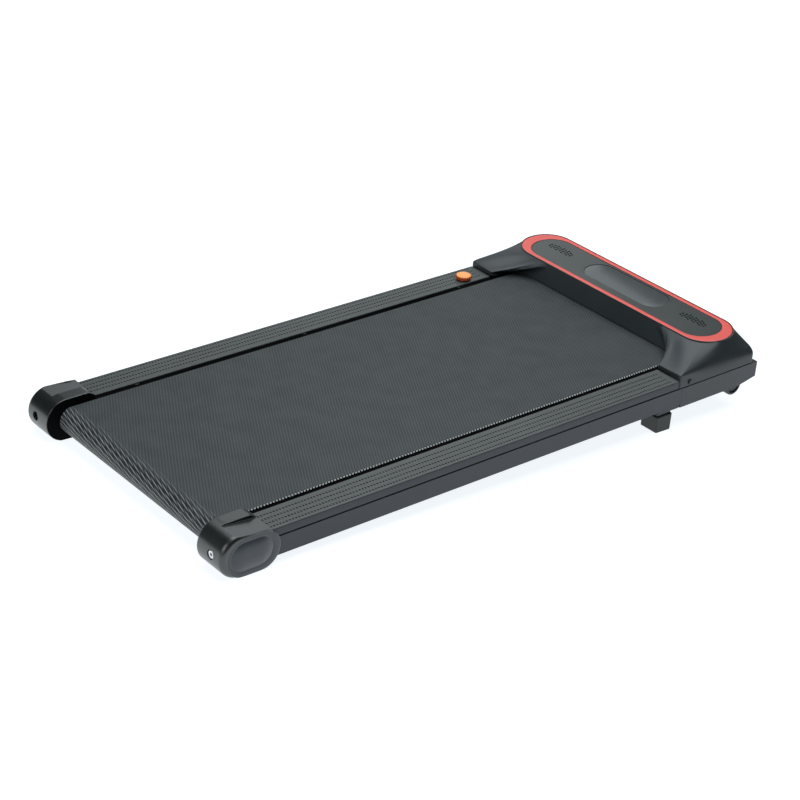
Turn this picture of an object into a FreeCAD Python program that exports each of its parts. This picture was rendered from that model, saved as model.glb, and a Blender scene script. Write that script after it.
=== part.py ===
import FreeCAD, Part
import math
import os

# Walking pad: a low belt treadmill for walking at a desk. Lengths in millimetres.
# The pad is drawn level: x 0 on its centre line, y 0 at the front edge of the rear caps and
# z 0 at the top of the foot rails. It is then tipped to stand on its caps and front feet,
# with the origin on the floor at the middle of its box, +Y forward and +Z up.

# Fits shared by all pieces
overrun = 1.0
running_clearance = 0.05
seat_clearance = 0.1
slip_clearance = 0.3
wrap_clearance = 0.3

# Running belt, rollers and their axles
belt_width = 400.0
belt_thickness = 2.0
belt_drop = 1.0
roller_radius = 20.0
roller_wall = 2.5
roller_overhang = 3.0
roller_plug = 14.0
rear_axis_y = -45.0
front_axis_y = 903.0
axle_radius = 6.0
bearing_radius = 14.0
bearing_width = 8.0
axle_tail = 12.0
tension_travel = 10.0
axle_bolt_radius = 4.0
axle_bolt_depth = 16.0
axle_bolt_head_radius = 9.0
axle_bolt_head_height = 5.0

# Deck board with its cushions and screws
deck_thickness = 14.0
deck_rear_gap = 27.0
deck_front_gap = 8.0
deck_lap = 5.0
cushion_radius = 12.0
cushion_height = 5.0
cushion_inset = 14.0
deck_screw_radius = 3.0
deck_screw_head_radius = 6.0
deck_screw_length = 32.0

# Foot rails
rail_gap = 11.0
rail_width = 51.0
rail_front = 825.0
rail_under_cap = 20.0
rail_plate = 2.5
rail_lip_height = 13.5
rail_lip_wall = 2.5
rail_rib_wall = 2.5
rail_rib_inset = 6.0
groove_count = 4
groove_first = 11.0
groove_pitch = 10.0
groove_width = 2.0
groove_depth = 0.8

# Side beams, cross members and front side plates
beam_gap = 2.5
beam_width = 22.0
beam_height = 31.0
beam_wall = 1.6
beam_rear = -18.0
beam_front = 835.0
cross_depth = 40.0
cross_height = 18.0
cross_wall = 1.6
cross_place_shares = (0.09, 0.47, 0.86)
plate_wall = 4.0
plate_rear = 782.0
plate_step = 838.0
plate_front = 990.0
plate_top = -3.0
plate_bottom = -48.5
wheel_lobe_radius = 11.0
hood_post_radius = 4.5
hood_post_y = 852.0
hood_post_z = -8.0

# Axle yokes and tension bolts at the rear
yoke_wall = 4.0
yoke_tab_y = -72.0
yoke_half_height = 12.0
yoke_inset = 15.0
yoke_slide_length = 56.0
yoke_insert_length = 45.0
tension_bolt_inset = 8.0
tension_bolt_radius = 4.0
tension_bolt_length = 52.0
tension_head_radius = 7.0
tension_head_height = 7.0
hex_socket_radius = 3.4
hex_socket_depth = 4.0

# Front feet
foot_y = 809.0
foot_drop = 91.5
foot_inset = 7.0
foot_width = 37.0
foot_length = 36.0
foot_boot_height = 30.0
foot_taper = 1.0
foot_edge = 2.5
foot_sole_wall = 12.0
neck_inset = 3.0
neck_wall = 2.5
foot_plate = 4.0
foot_plate_margin = 5.0

# Transport wheels
wheel_y = 970.0
wheel_z = -51.0
wheel_radius = 18.0
wheel_width = 16.0
wheel_edge = 2.0
wheel_gap = 2.0
wheel_dish_depth = 3.0
wheel_dish_wall = 4.0
wheel_hub_radius = 9.0
wheel_axle_radius = 4.0
wheel_head_radius = 6.5
wheel_head_height = 2.5
wheel_nut_radius = 5.5
wheel_nut_height = 6.0

# Rear caps and their side covers
cap_drop = 60.2
cap_wall = 3.0
cap_gap = 4.5
cap_radius = 35.9
cap_nose_y = -52.0
cap_edge = 1.2
cap_rim = 8.0
cap_toe = 12.0
cap_front_z = 3.5
cap_brow_length = 12.0
cap_band = 22.5
cap_step_length = 64.0
cap_step_rise = 5.5
cap_web_y = -14.0
cap_web_wall = 3.0
access_radius = 7.5
cover_half_length = 47.25
cover_radius = 33.4
cover_centre_y = -30.8
cover_centre_z = -27.4
cover_thickness = 3.2
cover_edge = 1.2
dish_depth = 1.6
dish_half_length = 33.0
dish_radius = 22.5
dish_centre_y = -35.0
dish_centre_z = -25.0
peg_radius = 2.5
peg_y = -62.0
cap_screw_radius = 2.5
cap_screw_head_radius = 5.0
cap_screw_length = 12.0
cap_screw_y = -8.0
cap_screw_z = -31.5

# Motor, its cradle and the ribbed drive belt
motor_y = 966.0
motor_radius = 29.0
motor_length = 110.0
motor_inset = 8.0
motor_wall = 3.0
motor_end_wall = 8.0
motor_shaft_radius = 5.0
armature_radius = 24.0
armature_gap = 6.0
fan_radius = 27.0
fan_width = 10.0
fan_gap = 4.0
fan_hub_radius = 9.0
fan_rim = 3.0
fan_blade_wall = 2.0
fan_blades = 8
cradle_top = -44.0
cradle_plate = 3.0
cradle_depth = 42.0
saddle_width = 12.0
saddle_inset = 10.0
saddle_rise = 16.0
roller_pulley_radius = 20.0
motor_pulley_radius = 7.5
pulley_gap = 2.0
pulley_width = 16.0
pulley_ribs = 5
pulley_rib_depth = 1.4
drive_belt_thickness = 3.0
drive_belt_margin = 1.0

# Control board with its heat sink
board_thickness = 1.6
control_inset = 14.0
control_length = 170.0
control_depth = 46.0
control_lift = 6.0
control_post_radius = 3.0
control_post_inset = 6.0
capacitor_radius = 9.0
capacitor_height = 26.0
terminal_length = 34.0
terminal_depth = 9.0
terminal_height = 10.0
sink_length = 56.0
sink_depth = 34.0
sink_base = 4.0
sink_height = 26.0
sink_fins = 6
sink_fin_wall = 2.2

# Motor pan and the power module in its front wall
pan_gap = 0.4
pan_front = 1017.0
pan_bottom = -52.0
pan_wall = 2.5
pan_slope_y = 976.0
pan_nose_bottom = -44.0
pan_rim = 17.0
seam_gap = 1.2
pan_boss_radius = 6.0
pan_boss_y = 952.0
pan_boss_x_shares = (-0.86, -0.29, 0.29, 0.86)
wheel_slot_gap = 3.0
module_inset = 122.0
module_z = -30.5
module_plate = 2.5
module_length = 92.0
module_height = 24.0
module_edge = 3.0
inlet_x_share = -0.24
inlet_length = 27.0
inlet_height = 20.0
inlet_depth = 19.0
inlet_wall = 2.5
pin_length = 9.0
pin_width = 2.0
pin_height = 5.0
pin_pitch = 7.0
switch_x_share = 0.16
switch_length = 20.0
switch_height = 13.0
switch_angle = 8.0
switch_pivot_depth = 4.0
switch_proud = 3.0
switch_box_depth = 14.0
reset_x_share = 0.4
reset_radius = 4.5
reset_proud = 5.0
reset_travel = 3.0
reset_length = 12.0
reset_collar = 2.0

# Hood, ring trim, top panel, display and speakers
hood_rear = 886.0
hood_leg_end = 827.0
hood_front = 1008.0
hood_lap = 2.0
hood_shoulder = 8.5
hood_bottom = -15.0
hood_wall = 2.5
hood_roof = 5.5
hood_tunnel_top = 1.0
hood_inner_fillet = 44.0
hood_corner = 8.0
flare_height_shares = (0.0, 0.3, 0.65, 1.0)
flare_blend_shares = (0.0, 0.34, 0.70, 1.0)
crown_angle_shares = (-1.0, -0.89, -0.78, -0.45, 0.5, 1.0)
crown_tilt = 2.7
ring_y = 948.0
ring_seat = 35.0
ring_inset = 18.4
ring_radius = 49.6
ring_thickness = 2.0
ring_edge = 0.6
ring_end_width = 23.7
ring_side_width = 10.0
panel_thickness = 2.5
panel_drop = 1.5
panel_ledge = 7.0
panel_clearance = 0.25
window_gap = 71.0
window_inset = 10.6
window_shift = 6.5
window_clearance = 0.15
speaker_inset = 54.9
speaker_offset = -10.0
speaker_radius = 18.0
speaker_clear = 1.6
speaker_height = 13.0
speaker_magnet_radius = 11.0
speaker_basket = 5.0
sound_hole_radius = 1.7
sound_hole_rows = 3
sound_hole_columns = 6
sound_hole_pitch = 8.6
sound_row_pitch = 7.0
display_board_depth = 44.0
display_post_radius = 2.5
display_post_height = 7.0
display_post_inset = 5.0
led_inset = 34.0
led_depth = 24.0

# Oil filler on the left foot rail
oil_inset = 15.0
oil_y = 776.0
oil_cap_radius = 14.0
oil_cap_height = 7.0
oil_scallops = 8
oil_scallop_radius = 3.0
oil_cap_edge = 1.0
oil_stem_radius = 5.0
oil_stem_length = 4.6
oil_bore_clearance = 0.2
oil_bush_radius = 8.0
oil_flange_radius = 11.0
oil_flange = 1.2
oil_seal = 0.8
oil_seal_radius = 9.0
oil_stack_gap = 0.05

# Screws of the hood and the pan
cover_screw_radius = 2.0
cover_screw_head_radius = 4.2
cover_screw_head_height = 2.2
cover_screw_grip = 9.0

# Places worked out from the sizes above
belt_half = belt_width / 2
roller_half = belt_half + roller_overhang
strand_radius = roller_radius + wrap_clearance
axis_z = -(belt_drop + belt_thickness + strand_radius)
rail_inner = belt_half + rail_gap
rail_outer = rail_inner + rail_width
rail_rear = -rail_under_cap
deck_top = axis_z + strand_radius - wrap_clearance
deck_bottom = deck_top - deck_thickness
deck_half = rail_inner + deck_lap
deck_rear = rear_axis_y + roller_radius + deck_rear_gap
deck_front = front_axis_y - roller_radius - deck_front_gap
beam_inner = rail_outer - beam_width
beam_top = -(rail_lip_height + beam_gap)
beam_bottom = beam_top - beam_height
cross_top = deck_bottom - cushion_height
cross_places = [deck_rear + share * (deck_front - deck_rear) for share in cross_place_shares]
plate_inner = beam_inner - plate_wall
cushion_x = plate_inner - cushion_inset - cushion_radius + deck_lap
yoke_inner_x = rail_inner + yoke_inset
tension_bolt_x = yoke_inner_x + yoke_wall + tension_bolt_inset
rear_axle_reach = tension_bolt_x + axle_tail
foot_outer_x = rail_outer - foot_inset
oil_x = -(rail_inner + oil_inset)
cap_inner_x = belt_half + cap_gap
cap_step_x = cap_inner_x + cap_band
cap_nose_z = cover_centre_z - cover_radius + cap_radius
cap_top = cap_nose_z + cap_radius
cap_wall_x = rail_outer + slip_clearance
cap_outer_x = cap_wall_x + cap_wall
motor_right_x = belt_half - motor_inset
motor_left_x = motor_right_x - motor_length
motor_z = cradle_top + motor_radius + slip_clearance
pulley_left = roller_half + pulley_gap
pulley_right = pulley_left + pulley_width
wheel_left = beam_inner + wheel_gap
pan_top = hood_bottom - seam_gap
pan_rear = beam_front + pan_gap
hood_leg_inner_x = rail_inner - hood_lap
ring_half_length = rail_outer - ring_inset
crown_middle = ring_half_length - ring_radius
panel_half_length = ring_half_length - ring_end_width
panel_radius = ring_radius - ring_side_width
speaker_x = panel_half_length - speaker_inset
window_half_length = speaker_x - window_gap
window_radius = panel_radius - window_inset
speaker_shift = panel_radius - panel_ledge - speaker_clear - speaker_radius
control_left_x = control_inset - plate_inner
control_y = motor_y
control_bottom = cradle_top + control_lift
module_x = module_inset - rail_outer
module_front = pan_front + module_plate
incline = math.degrees(math.atan2(foot_drop - cap_drop, foot_y - cover_centre_y))

V = FreeCAD.Vector
along_x = V(1, 0, 0)
along_y = V(0, 1, 0)
along_z = V(0, 0, 1)


def box(x0, x1, y0, y1, z0, z1):
    return Part.makeBox(x1 - x0, y1 - y0, z1 - z0, V(x0, y0, z0))


def rod_x(radius, x0, x1, y, z):
    return Part.makeCylinder(radius, x1 - x0, V(x0, y, z), along_x)


def rod_y(radius, y0, y1, x, z):
    return Part.makeCylinder(radius, y1 - y0, V(x, y0, z), along_y)


def rod_z(radius, z0, z1, x, y):
    return Part.makeCylinder(radius, z1 - z0, V(x, y, z0), along_z)


def mirrored(shape):
    return shape.mirror(V(0, 0, 0), along_x)


def pair(shape):
    return Part.makeCompound([shape, mirrored(shape)])


def joined(shapes):
    return shapes[0].multiFuse(shapes[1:]).removeSplitter()


def wire_through(points):
    # A closed chain of edges: each point is (start, middle), with a middle only on an arc.
    edges = []
    for (start, middle), (end, _) in zip(points, points[1:] + points[:1]):
        if middle is None:
            edges.append(Part.LineSegment(start, end).toShape())
        else:
            edges.append(Part.Arc(start, middle, end).toShape())
    return Part.Wire(edges)


def stadium(half_length, radius, place):
    # A long oval lying in the plane of two directions, given by a function of (u, v).
    straight = half_length - radius
    return wire_through([
        (place(-straight, -radius), None),
        (place(straight, -radius), place(half_length, 0)),
        (place(straight, radius), None),
        (place(-straight, radius), place(-half_length, 0)),
    ])


def side_stadium(half_length, radius, x, y, z):
    return stadium(half_length, radius, lambda u, v: V(x, y + u, z + v))


def flat_stadium(half_length, radius, x, y, z):
    return stadium(half_length, radius, lambda u, v: V(x + u, y + v, z))


def raised(wire, height):
    return Part.Face(wire).extrude(height)


def box_edges(shape, tangent):
    # Straight edges that run along one direction, for rounding.
    found = []
    for edge in shape.Edges:
        run = edge.Vertexes[-1].Point - edge.Vertexes[0].Point
        if isinstance(edge.Curve, Part.Line) and run.cross(tangent).Length < running_clearance:
            found.append(edge)
    return found


def tube_box(x0, x1, y0, y1, z0, z1, wall, axis):
    # A rectangular tube that is open at both ends along its axis.
    grow = {"x": (-overrun, wall, wall), "y": (wall, -overrun, wall)}[axis]
    inside = box(x0 + grow[0], x1 - grow[0], y0 + grow[1], y1 - grow[1], z0 + grow[2], z1 - grow[2])
    return box(x0, x1, y0, y1, z0, z1).cut(inside)


def loop(centre_a, radius_a, centre_b, radius_b, x0, x1):
    # The region inside a belt's path round two circles, as a slab from x0 to x1.
    span = centre_b - centre_a
    turn = math.atan2(span.z, span.y)
    lean = math.asin((radius_a - radius_b) / span.Length)
    upper = turn + math.pi / 2 - lean
    lower = turn - math.pi / 2 + lean

    def at(centre, radius, angle):
        return V(x0, centre.y + radius * math.cos(angle), centre.z + radius * math.sin(angle))

    wire = wire_through([
        (at(centre_a, radius_a, upper), at(centre_a, radius_a, turn + math.pi)),
        (at(centre_a, radius_a, lower), None),
        (at(centre_b, radius_b, lower), at(centre_b, radius_b, turn)),
        (at(centre_b, radius_b, upper), None),
    ])
    return raised(wire, along_x * (x1 - x0))


def belt(centre_a, radius_a, centre_b, radius_b, thickness, x0, x1):
    outside = loop(centre_a, radius_a + thickness, centre_b, radius_b + thickness, x0, x1)
    inside = loop(centre_a, radius_a, centre_b, radius_b, x0 - overrun, x1 + overrun)
    return outside.cut(inside)


def hex_prism(radius, base, height):
    corners = []
    for k in range(6):
        angle = math.pi * k / 3
        corners.append(base + V(radius * math.cos(angle), 0, radius * math.sin(angle)))
    return raised(Part.makePolygon(corners + corners[:1]), height)


# Steel frame: side beams, cross members, front plates, axle yokes and foot brackets
def side_beam():
    beam = tube_box(beam_inner, rail_outer, beam_rear, beam_front, beam_bottom, beam_top, beam_wall, "y")
    hole_radius = cap_screw_radius + seat_clearance
    hole = rod_x(hole_radius, rail_outer - 2 * beam_wall, rail_outer + overrun, cap_screw_y, cap_screw_z)
    return beam.cut(hole)


def cross_member(y):
    tube = tube_box(-beam_inner, beam_inner, y - cross_depth / 2, y + cross_depth / 2,
                    cross_top - cross_height, cross_top, cross_wall, "x")
    hole_radius = deck_screw_radius + seat_clearance
    for x in (-cushion_x, cushion_x):
        tube = tube.cut(rod_z(hole_radius, cross_top - 2 * cross_wall, cross_top + overrun, x, y))
    return tube


def front_plate():
    plate = box(plate_inner, beam_inner, plate_rear, plate_step, beam_bottom, beam_top)
    bay = box(plate_inner, beam_inner, plate_step, plate_front, plate_bottom, plate_top)
    lobe = rod_x(wheel_lobe_radius, plate_inner, beam_inner, wheel_y, wheel_z)
    post = rod_x(hood_post_radius, beam_inner, rail_outer - hood_wall, hood_post_y, hood_post_z)
    solid = joined([plate, bay, lobe, post])
    axle_hole = axle_radius + seat_clearance
    solid = solid.cut(rod_x(axle_hole, plate_inner - overrun, beam_inner + overrun, front_axis_y, axis_z))
    wheel_hole = wheel_axle_radius + seat_clearance
    solid = solid.cut(rod_x(wheel_hole, plate_inner - overrun, beam_inner + overrun, wheel_y, wheel_z))
    screw_hole = cover_screw_radius + seat_clearance
    screw_end = rail_outer - hood_wall - cover_screw_grip
    return solid.cut(rod_x(screw_hole, screw_end, rail_outer, hood_post_y, hood_post_z))


def axle_yoke():
    outer_face = rail_outer - beam_wall - seat_clearance
    tab_rear = yoke_tab_y - yoke_wall
    low = axis_z - yoke_half_height
    high = axis_z + yoke_half_height
    inside_top = beam_top - beam_wall - seat_clearance
    tab = box(yoke_inner_x, outer_face, tab_rear, yoke_tab_y, low, high)
    inner = box(yoke_inner_x, yoke_inner_x + yoke_wall, tab_rear, tab_rear + yoke_slide_length, low, high)
    outer = box(outer_face - yoke_wall, outer_face, tab_rear, beam_rear + yoke_insert_length, low, inside_top)
    solid = joined([tab, inner, outer])
    slot_radius = axle_radius + running_clearance
    slot_half = tension_travel / 2 + slot_radius
    slot = side_stadium(slot_half, slot_radius, yoke_inner_x - overrun, rear_axis_y + tension_travel / 2,
                        axis_z)
    solid = solid.cut(raised(slot, along_x * (yoke_wall + 2 * overrun)))
    bolt_hole = tension_bolt_radius + running_clearance
    solid = solid.cut(rod_y(bolt_hole, tab_rear - overrun, yoke_tab_y + overrun, tension_bolt_x, axis_z))
    return solid.cut(cap_screw(seat_clearance))


def foot_bracket():
    inner_x = foot_outer_x - foot_width
    half = foot_length / 2
    plate = box(inner_x, rail_outer, foot_y - half - foot_plate_margin, foot_y + half + foot_plate_margin,
                beam_bottom - foot_plate, beam_bottom)
    neck_bottom = foot_sole_wall - foot_drop
    neck_half = half - neck_inset
    neck = box(inner_x + neck_inset, foot_outer_x - neck_inset, foot_y - neck_half, foot_y + neck_half,
               neck_bottom, beam_bottom - foot_plate)
    room_half = neck_half - neck_wall
    hollow = box(inner_x + neck_inset + neck_wall, foot_outer_x - neck_inset - neck_wall,
                 foot_y - room_half, foot_y + room_half, neck_bottom - overrun, beam_bottom - foot_plate)
    return joined([plate, neck.cut(hollow)])


def foot_boot():
    inner_x = foot_outer_x - foot_width
    half = foot_length / 2
    top = foot_boot_height - foot_drop
    low = -foot_drop - 2 * foot_edge
    profile = Part.makePolygon([
        V(inner_x, foot_y - half, top), V(inner_x, foot_y + half, top),
        V(inner_x, foot_y + half - foot_taper, low), V(inner_x, foot_y - half + 2 * foot_taper, low),
        V(inner_x, foot_y - half, top)])
    boot = raised(profile, along_x * foot_width)
    boot = boot.makeFillet(foot_edge, boot.Edges)
    gap = neck_inset - seat_clearance
    socket = box(inner_x + gap, foot_outer_x - gap, foot_y - half + gap, foot_y + half - gap,
                 foot_sole_wall - foot_drop, top + overrun)
    return boot.cut(socket)


# Deck board, cushions and screws
def deck_screw_places():
    return [(x, y) for y in cross_places for x in (-cushion_x, cushion_x)]


def countersunk_screw(radius, head_radius, length):
    # Standing on the origin with its flat head up at z 0.
    head = head_radius - radius
    cone = Part.makeCone(radius, head_radius, head, V(0, 0, -head), along_z)
    return joined([cone, Part.makeCylinder(radius, length, V(0, 0, -length), along_z)])


def deck_screws(clearance):
    screws = []
    for x, y in deck_screw_places():
        screw = countersunk_screw(deck_screw_radius + clearance, deck_screw_head_radius + clearance,
                                  deck_screw_length)
        screw.translate(V(x, y, deck_top))
        screws.append(screw)
    return Part.makeCompound(screws)


def deck_board():
    board = box(-deck_half, deck_half, deck_rear, deck_front, deck_bottom, deck_top)
    return board.cut(deck_screws(seat_clearance))


def deck_cushions():
    rings = []
    bore_radius = deck_screw_radius + slip_clearance
    for x, y in deck_screw_places():
        ring = rod_z(cushion_radius, cross_top, deck_bottom, x, y)
        rings.append(ring.cut(rod_z(bore_radius, cross_top - overrun, deck_bottom + overrun, x, y)))
    return Part.makeCompound(rings)


# Running belt, rollers, axles and bearings
def running_belt():
    return belt(V(0, rear_axis_y, axis_z), strand_radius, V(0, front_axis_y, axis_z), strand_radius,
                belt_thickness, -belt_half, belt_half)


def roller(y):
    body = rod_x(roller_radius, -roller_half, roller_half, y, axis_z)
    room_half = roller_half - roller_plug
    hollow = rod_x(roller_radius - roller_wall, -room_half, room_half, y, axis_z)
    bore = rod_x(axle_radius + slip_clearance, -roller_half - overrun, roller_half + overrun, y, axis_z)
    seat = rod_x(bearing_radius + seat_clearance, roller_half - bearing_width, roller_half + overrun,
                 y, axis_z)
    return body.cut(hollow).cut(bore).cut(pair(seat))


def roller_bearings(y):
    start = roller_half - bearing_width
    ring = rod_x(bearing_radius, start, roller_half, y, axis_z)
    bore = rod_x(axle_radius + running_clearance, start - overrun, roller_half + overrun, y, axis_z)
    return pair(ring.cut(bore))


def front_axle():
    axle = rod_x(axle_radius, -beam_inner, beam_inner, front_axis_y, axis_z)
    tapped = axle_bolt_radius + seat_clearance
    hole = rod_x(tapped, beam_inner - axle_bolt_depth, beam_inner + overrun, front_axis_y, axis_z)
    return axle.cut(pair(hole))


def front_axle_bolts():
    head = rod_x(axle_bolt_head_radius, beam_inner, beam_inner + axle_bolt_head_height, front_axis_y, axis_z)
    shank = rod_x(axle_bolt_radius, beam_inner - axle_bolt_depth + overrun, beam_inner, front_axis_y, axis_z)
    return pair(joined([head, shank]))


def rear_axle():
    axle = rod_x(axle_radius, -rear_axle_reach, rear_axle_reach, rear_axis_y, axis_z)
    reach = 2 * axle_radius
    cross = rod_y(tension_bolt_radius + running_clearance, rear_axis_y - reach, rear_axis_y + reach,
                  tension_bolt_x, axis_z)
    return axle.cut(pair(cross))


def tension_bolt():
    seat = yoke_tab_y - yoke_wall
    end = seat - tension_head_height
    head = rod_y(tension_head_radius, end, seat, tension_bolt_x, axis_z)
    socket = hex_prism(hex_socket_radius, V(tension_bolt_x, end - overrun, axis_z),
                       along_y * (hex_socket_depth + overrun))
    shank = rod_y(tension_bolt_radius, seat, seat + tension_bolt_length, tension_bolt_x, axis_z)
    return joined([head.cut(socket), shank])


# Motor, cradle, drive belt and control board
def ribbed_pulley(radius, bore_radius, y, z):
    pitch = pulley_width / pulley_ribs
    points = [V(pulley_left, bore_radius, 0), V(pulley_left, radius, 0)]
    for k in range(pulley_ribs):
        start = pulley_left + k * pitch
        points.append(V(start + pitch / 2, radius - pulley_rib_depth, 0))
        points.append(V(start + pitch, radius, 0))
    points.append(V(pulley_right, bore_radius, 0))
    profile = Part.Face(Part.makePolygon(points + points[:1]))
    wheel = profile.revolve(V(0, 0, 0), along_x, 360)
    wheel.translate(V(0, y, z))
    return wheel


def roller_pulley():
    bore_radius = axle_radius + slip_clearance
    ribbed = ribbed_pulley(roller_pulley_radius, bore_radius, front_axis_y, axis_z)
    hub = rod_x(bearing_radius, roller_half, pulley_left, front_axis_y, axis_z)
    bore = rod_x(bore_radius, roller_half - overrun, pulley_left + overrun, front_axis_y, axis_z)
    return joined([ribbed, hub.cut(bore)])


def motor_pulley():
    return ribbed_pulley(motor_pulley_radius, motor_shaft_radius + seat_clearance, motor_y, motor_z)


def drive_belt():
    return belt(V(0, front_axis_y, axis_z), roller_pulley_radius + wrap_clearance,
                V(0, motor_y, motor_z), motor_pulley_radius + wrap_clearance,
                drive_belt_thickness, pulley_left + drive_belt_margin, pulley_right - drive_belt_margin)


def motor_can():
    can = rod_x(motor_radius, motor_left_x, motor_right_x, motor_y, motor_z)
    hollow = rod_x(motor_radius - motor_wall, motor_left_x + motor_end_wall, motor_right_x - motor_end_wall,
                   motor_y, motor_z)
    bore_radius = motor_shaft_radius + running_clearance
    bore = rod_x(bore_radius, motor_left_x - overrun, motor_right_x + overrun, motor_y, motor_z)
    return can.cut(hollow).cut(bore)


def motor_armature():
    core = rod_x(armature_radius, motor_left_x + motor_end_wall + armature_gap,
                 motor_right_x - motor_end_wall - armature_gap, motor_y, motor_z)
    shaft = rod_x(motor_shaft_radius, motor_left_x - fan_gap - fan_width, pulley_right, motor_y, motor_z)
    return joined([core, shaft])


def motor_fan():
    right = motor_left_x - fan_gap
    left = right - fan_width
    rim = rod_x(fan_radius, left, right, motor_y, motor_z)
    rim = rim.cut(rod_x(fan_radius - fan_rim, left - overrun, right + overrun, motor_y, motor_z))
    pieces = [rim, rod_x(fan_hub_radius, left, right, motor_y, motor_z)]
    for k in range(fan_blades):
        blade = box(left, right, motor_y + fan_hub_radius / 2, motor_y + fan_radius - fan_rim / 2,
                    motor_z - fan_blade_wall / 2, motor_z + fan_blade_wall / 2)
        blade.rotate(V(0, motor_y, motor_z), along_x, 360 * k / fan_blades)
        pieces.append(blade)
    bore_radius = motor_shaft_radius + seat_clearance
    return joined(pieces).cut(rod_x(bore_radius, left - overrun, right + overrun, motor_y, motor_z))


def control_corners():
    left = control_left_x + control_post_inset
    right = control_left_x + control_length - control_post_inset
    reach = control_depth / 2 - control_post_inset
    return [(x, control_y + side * reach) for x in (left, right) for side in (-1, 1)]


def pan_boss_places():
    return [share * belt_half for share in pan_boss_x_shares]


def motor_cradle():
    low = cradle_top - cradle_plate
    rear = motor_y - cradle_depth / 2
    front = motor_y + cradle_depth / 2
    pieces = [box(-plate_inner, plate_inner, rear, front, low, cradle_top)]
    seat_radius = motor_radius + slip_clearance
    for x in (motor_left_x + saddle_inset, motor_right_x - saddle_inset - saddle_width):
        saddle = box(x, x + saddle_width, rear, front, cradle_top, cradle_top + saddle_rise)
        seat = rod_x(seat_radius, x - overrun, x + saddle_width + overrun, motor_y, motor_z)
        pieces.append(saddle.cut(seat))
    for x, y in control_corners():
        pieces.append(rod_z(control_post_radius, cradle_top, control_bottom, x, y))
    cradle = joined(pieces)
    hole_radius = cover_screw_radius + seat_clearance
    for x in pan_boss_places():
        top = cradle_top + cover_screw_grip
        cradle = cradle.cut(rod_z(hole_radius, low - overrun, top, x, pan_boss_y))
    wheel_bolt = rod_x(wheel_nut_radius + slip_clearance, plate_inner - wheel_nut_height - slip_clearance,
                       plate_inner + overrun, wheel_y, wheel_z)
    return cradle.cut(pair(wheel_bolt))


def control_board():
    top = control_bottom + board_thickness
    rear = control_y - control_depth / 2
    right = control_left_x + control_length
    pieces = [box(control_left_x, right, rear, rear + control_depth, control_bottom, top)]
    for k in range(2):
        x = right - control_post_inset - (2 * k + 2) * capacitor_radius - k * control_post_inset
        pieces.append(rod_z(capacitor_radius, top, top + capacitor_height, x, control_y))
    sink_right = control_left_x + control_post_inset + control_post_radius + sink_length
    terminal_left = sink_right + control_post_inset
    terminal_rear = rear + control_post_inset
    pieces.append(box(terminal_left, terminal_left + terminal_length,
                      terminal_rear, terminal_rear + terminal_depth, top, top + terminal_height))
    return joined(pieces)


def heat_sink():
    left = control_left_x + control_post_inset + control_post_radius
    base = control_bottom + board_thickness
    rear = control_y - sink_depth / 2
    pieces = [box(left, left + sink_length, rear, rear + sink_depth, base, base + sink_base)]
    step = (sink_depth - sink_fin_wall) / (sink_fins - 1)
    for k in range(sink_fins):
        pieces.append(box(left, left + sink_length, rear + k * step, rear + k * step + sink_fin_wall,
                          base + sink_base, base + sink_height))
    return joined(pieces)


# Transport wheels
def wheel():
    right = wheel_left + wheel_width
    tyre = rod_x(wheel_radius, wheel_left, right, wheel_y, wheel_z)
    tyre = tyre.makeFillet(wheel_edge, tyre.Edges)
    dish = rod_x(wheel_radius - wheel_dish_wall, right - wheel_dish_depth, right + overrun, wheel_y, wheel_z)
    hub = rod_x(wheel_hub_radius, right - wheel_dish_depth - overrun, right, wheel_y, wheel_z)
    tyre = joined([tyre.cut(dish), hub])
    head_room = rod_x(wheel_head_radius + slip_clearance, right - wheel_head_height - slip_clearance,
                      right + overrun, wheel_y, wheel_z)
    bore_radius = wheel_axle_radius + running_clearance
    bore = rod_x(bore_radius, wheel_left - overrun, right + overrun, wheel_y, wheel_z)
    return tyre.cut(head_room).cut(bore)


def wheel_axles():
    right = wheel_left + wheel_width
    shank = rod_x(wheel_axle_radius, plate_inner - wheel_nut_height, right, wheel_y, wheel_z)
    head = rod_x(wheel_head_radius, right - wheel_head_height, right, wheel_y, wheel_z)
    nut = rod_x(wheel_nut_radius, plate_inner - wheel_nut_height, plate_inner, wheel_y, wheel_z)
    shoulder = rod_x(wheel_axle_radius + wheel_gap, beam_inner, wheel_left - slip_clearance, wheel_y, wheel_z)
    return pair(joined([shank, head, nut, shoulder]))


# Foot rails
def rail_envelope(clearance):
    return box(rail_inner - clearance, rail_outer + clearance, rail_rear - clearance, rail_front,
               beam_top, clearance)


def foot_rail():
    length = rail_front - rail_rear
    lip_inner = rail_outer - rail_lip_wall
    rib_outer = lip_inner - rail_rib_inset
    pieces = [
        box(rail_inner, rail_outer, rail_rear, rail_rear + length, -rail_plate, 0),
        box(lip_inner, rail_outer, rail_rear, rail_rear + length, -rail_lip_height, 0),
        box(rail_inner, rail_inner + rail_rib_wall, deck_rear, rail_front, deck_top, 0),
        box(beam_inner, beam_inner + rail_rib_wall, rail_rear, rail_front, beam_top, 0),
        box(rib_outer - rail_rib_wall, rib_outer, rail_rear, rail_front, beam_top, 0),
    ]
    rail = joined(pieces)
    for k in range(groove_count):
        left = rail_inner + groove_first + k * groove_pitch - groove_width / 2
        groove = box(left, left + groove_width, rail_rear - overrun, rail_front + overrun,
                     -groove_depth, overrun)
        rail = rail.cut(groove)
    return rail


# Oil filler: bush, seal and screw cap
def oil_port():
    bore = rod_z(oil_stem_radius + oil_bore_clearance, deck_top, oil_flange + overrun, oil_x, oil_y)
    bush = rod_z(oil_bush_radius, deck_top + oil_stack_gap, 0, oil_x, oil_y)
    flange = rod_z(oil_flange_radius, 0, oil_flange, oil_x, oil_y)
    return joined([bush, flange]).cut(bore)


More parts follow.
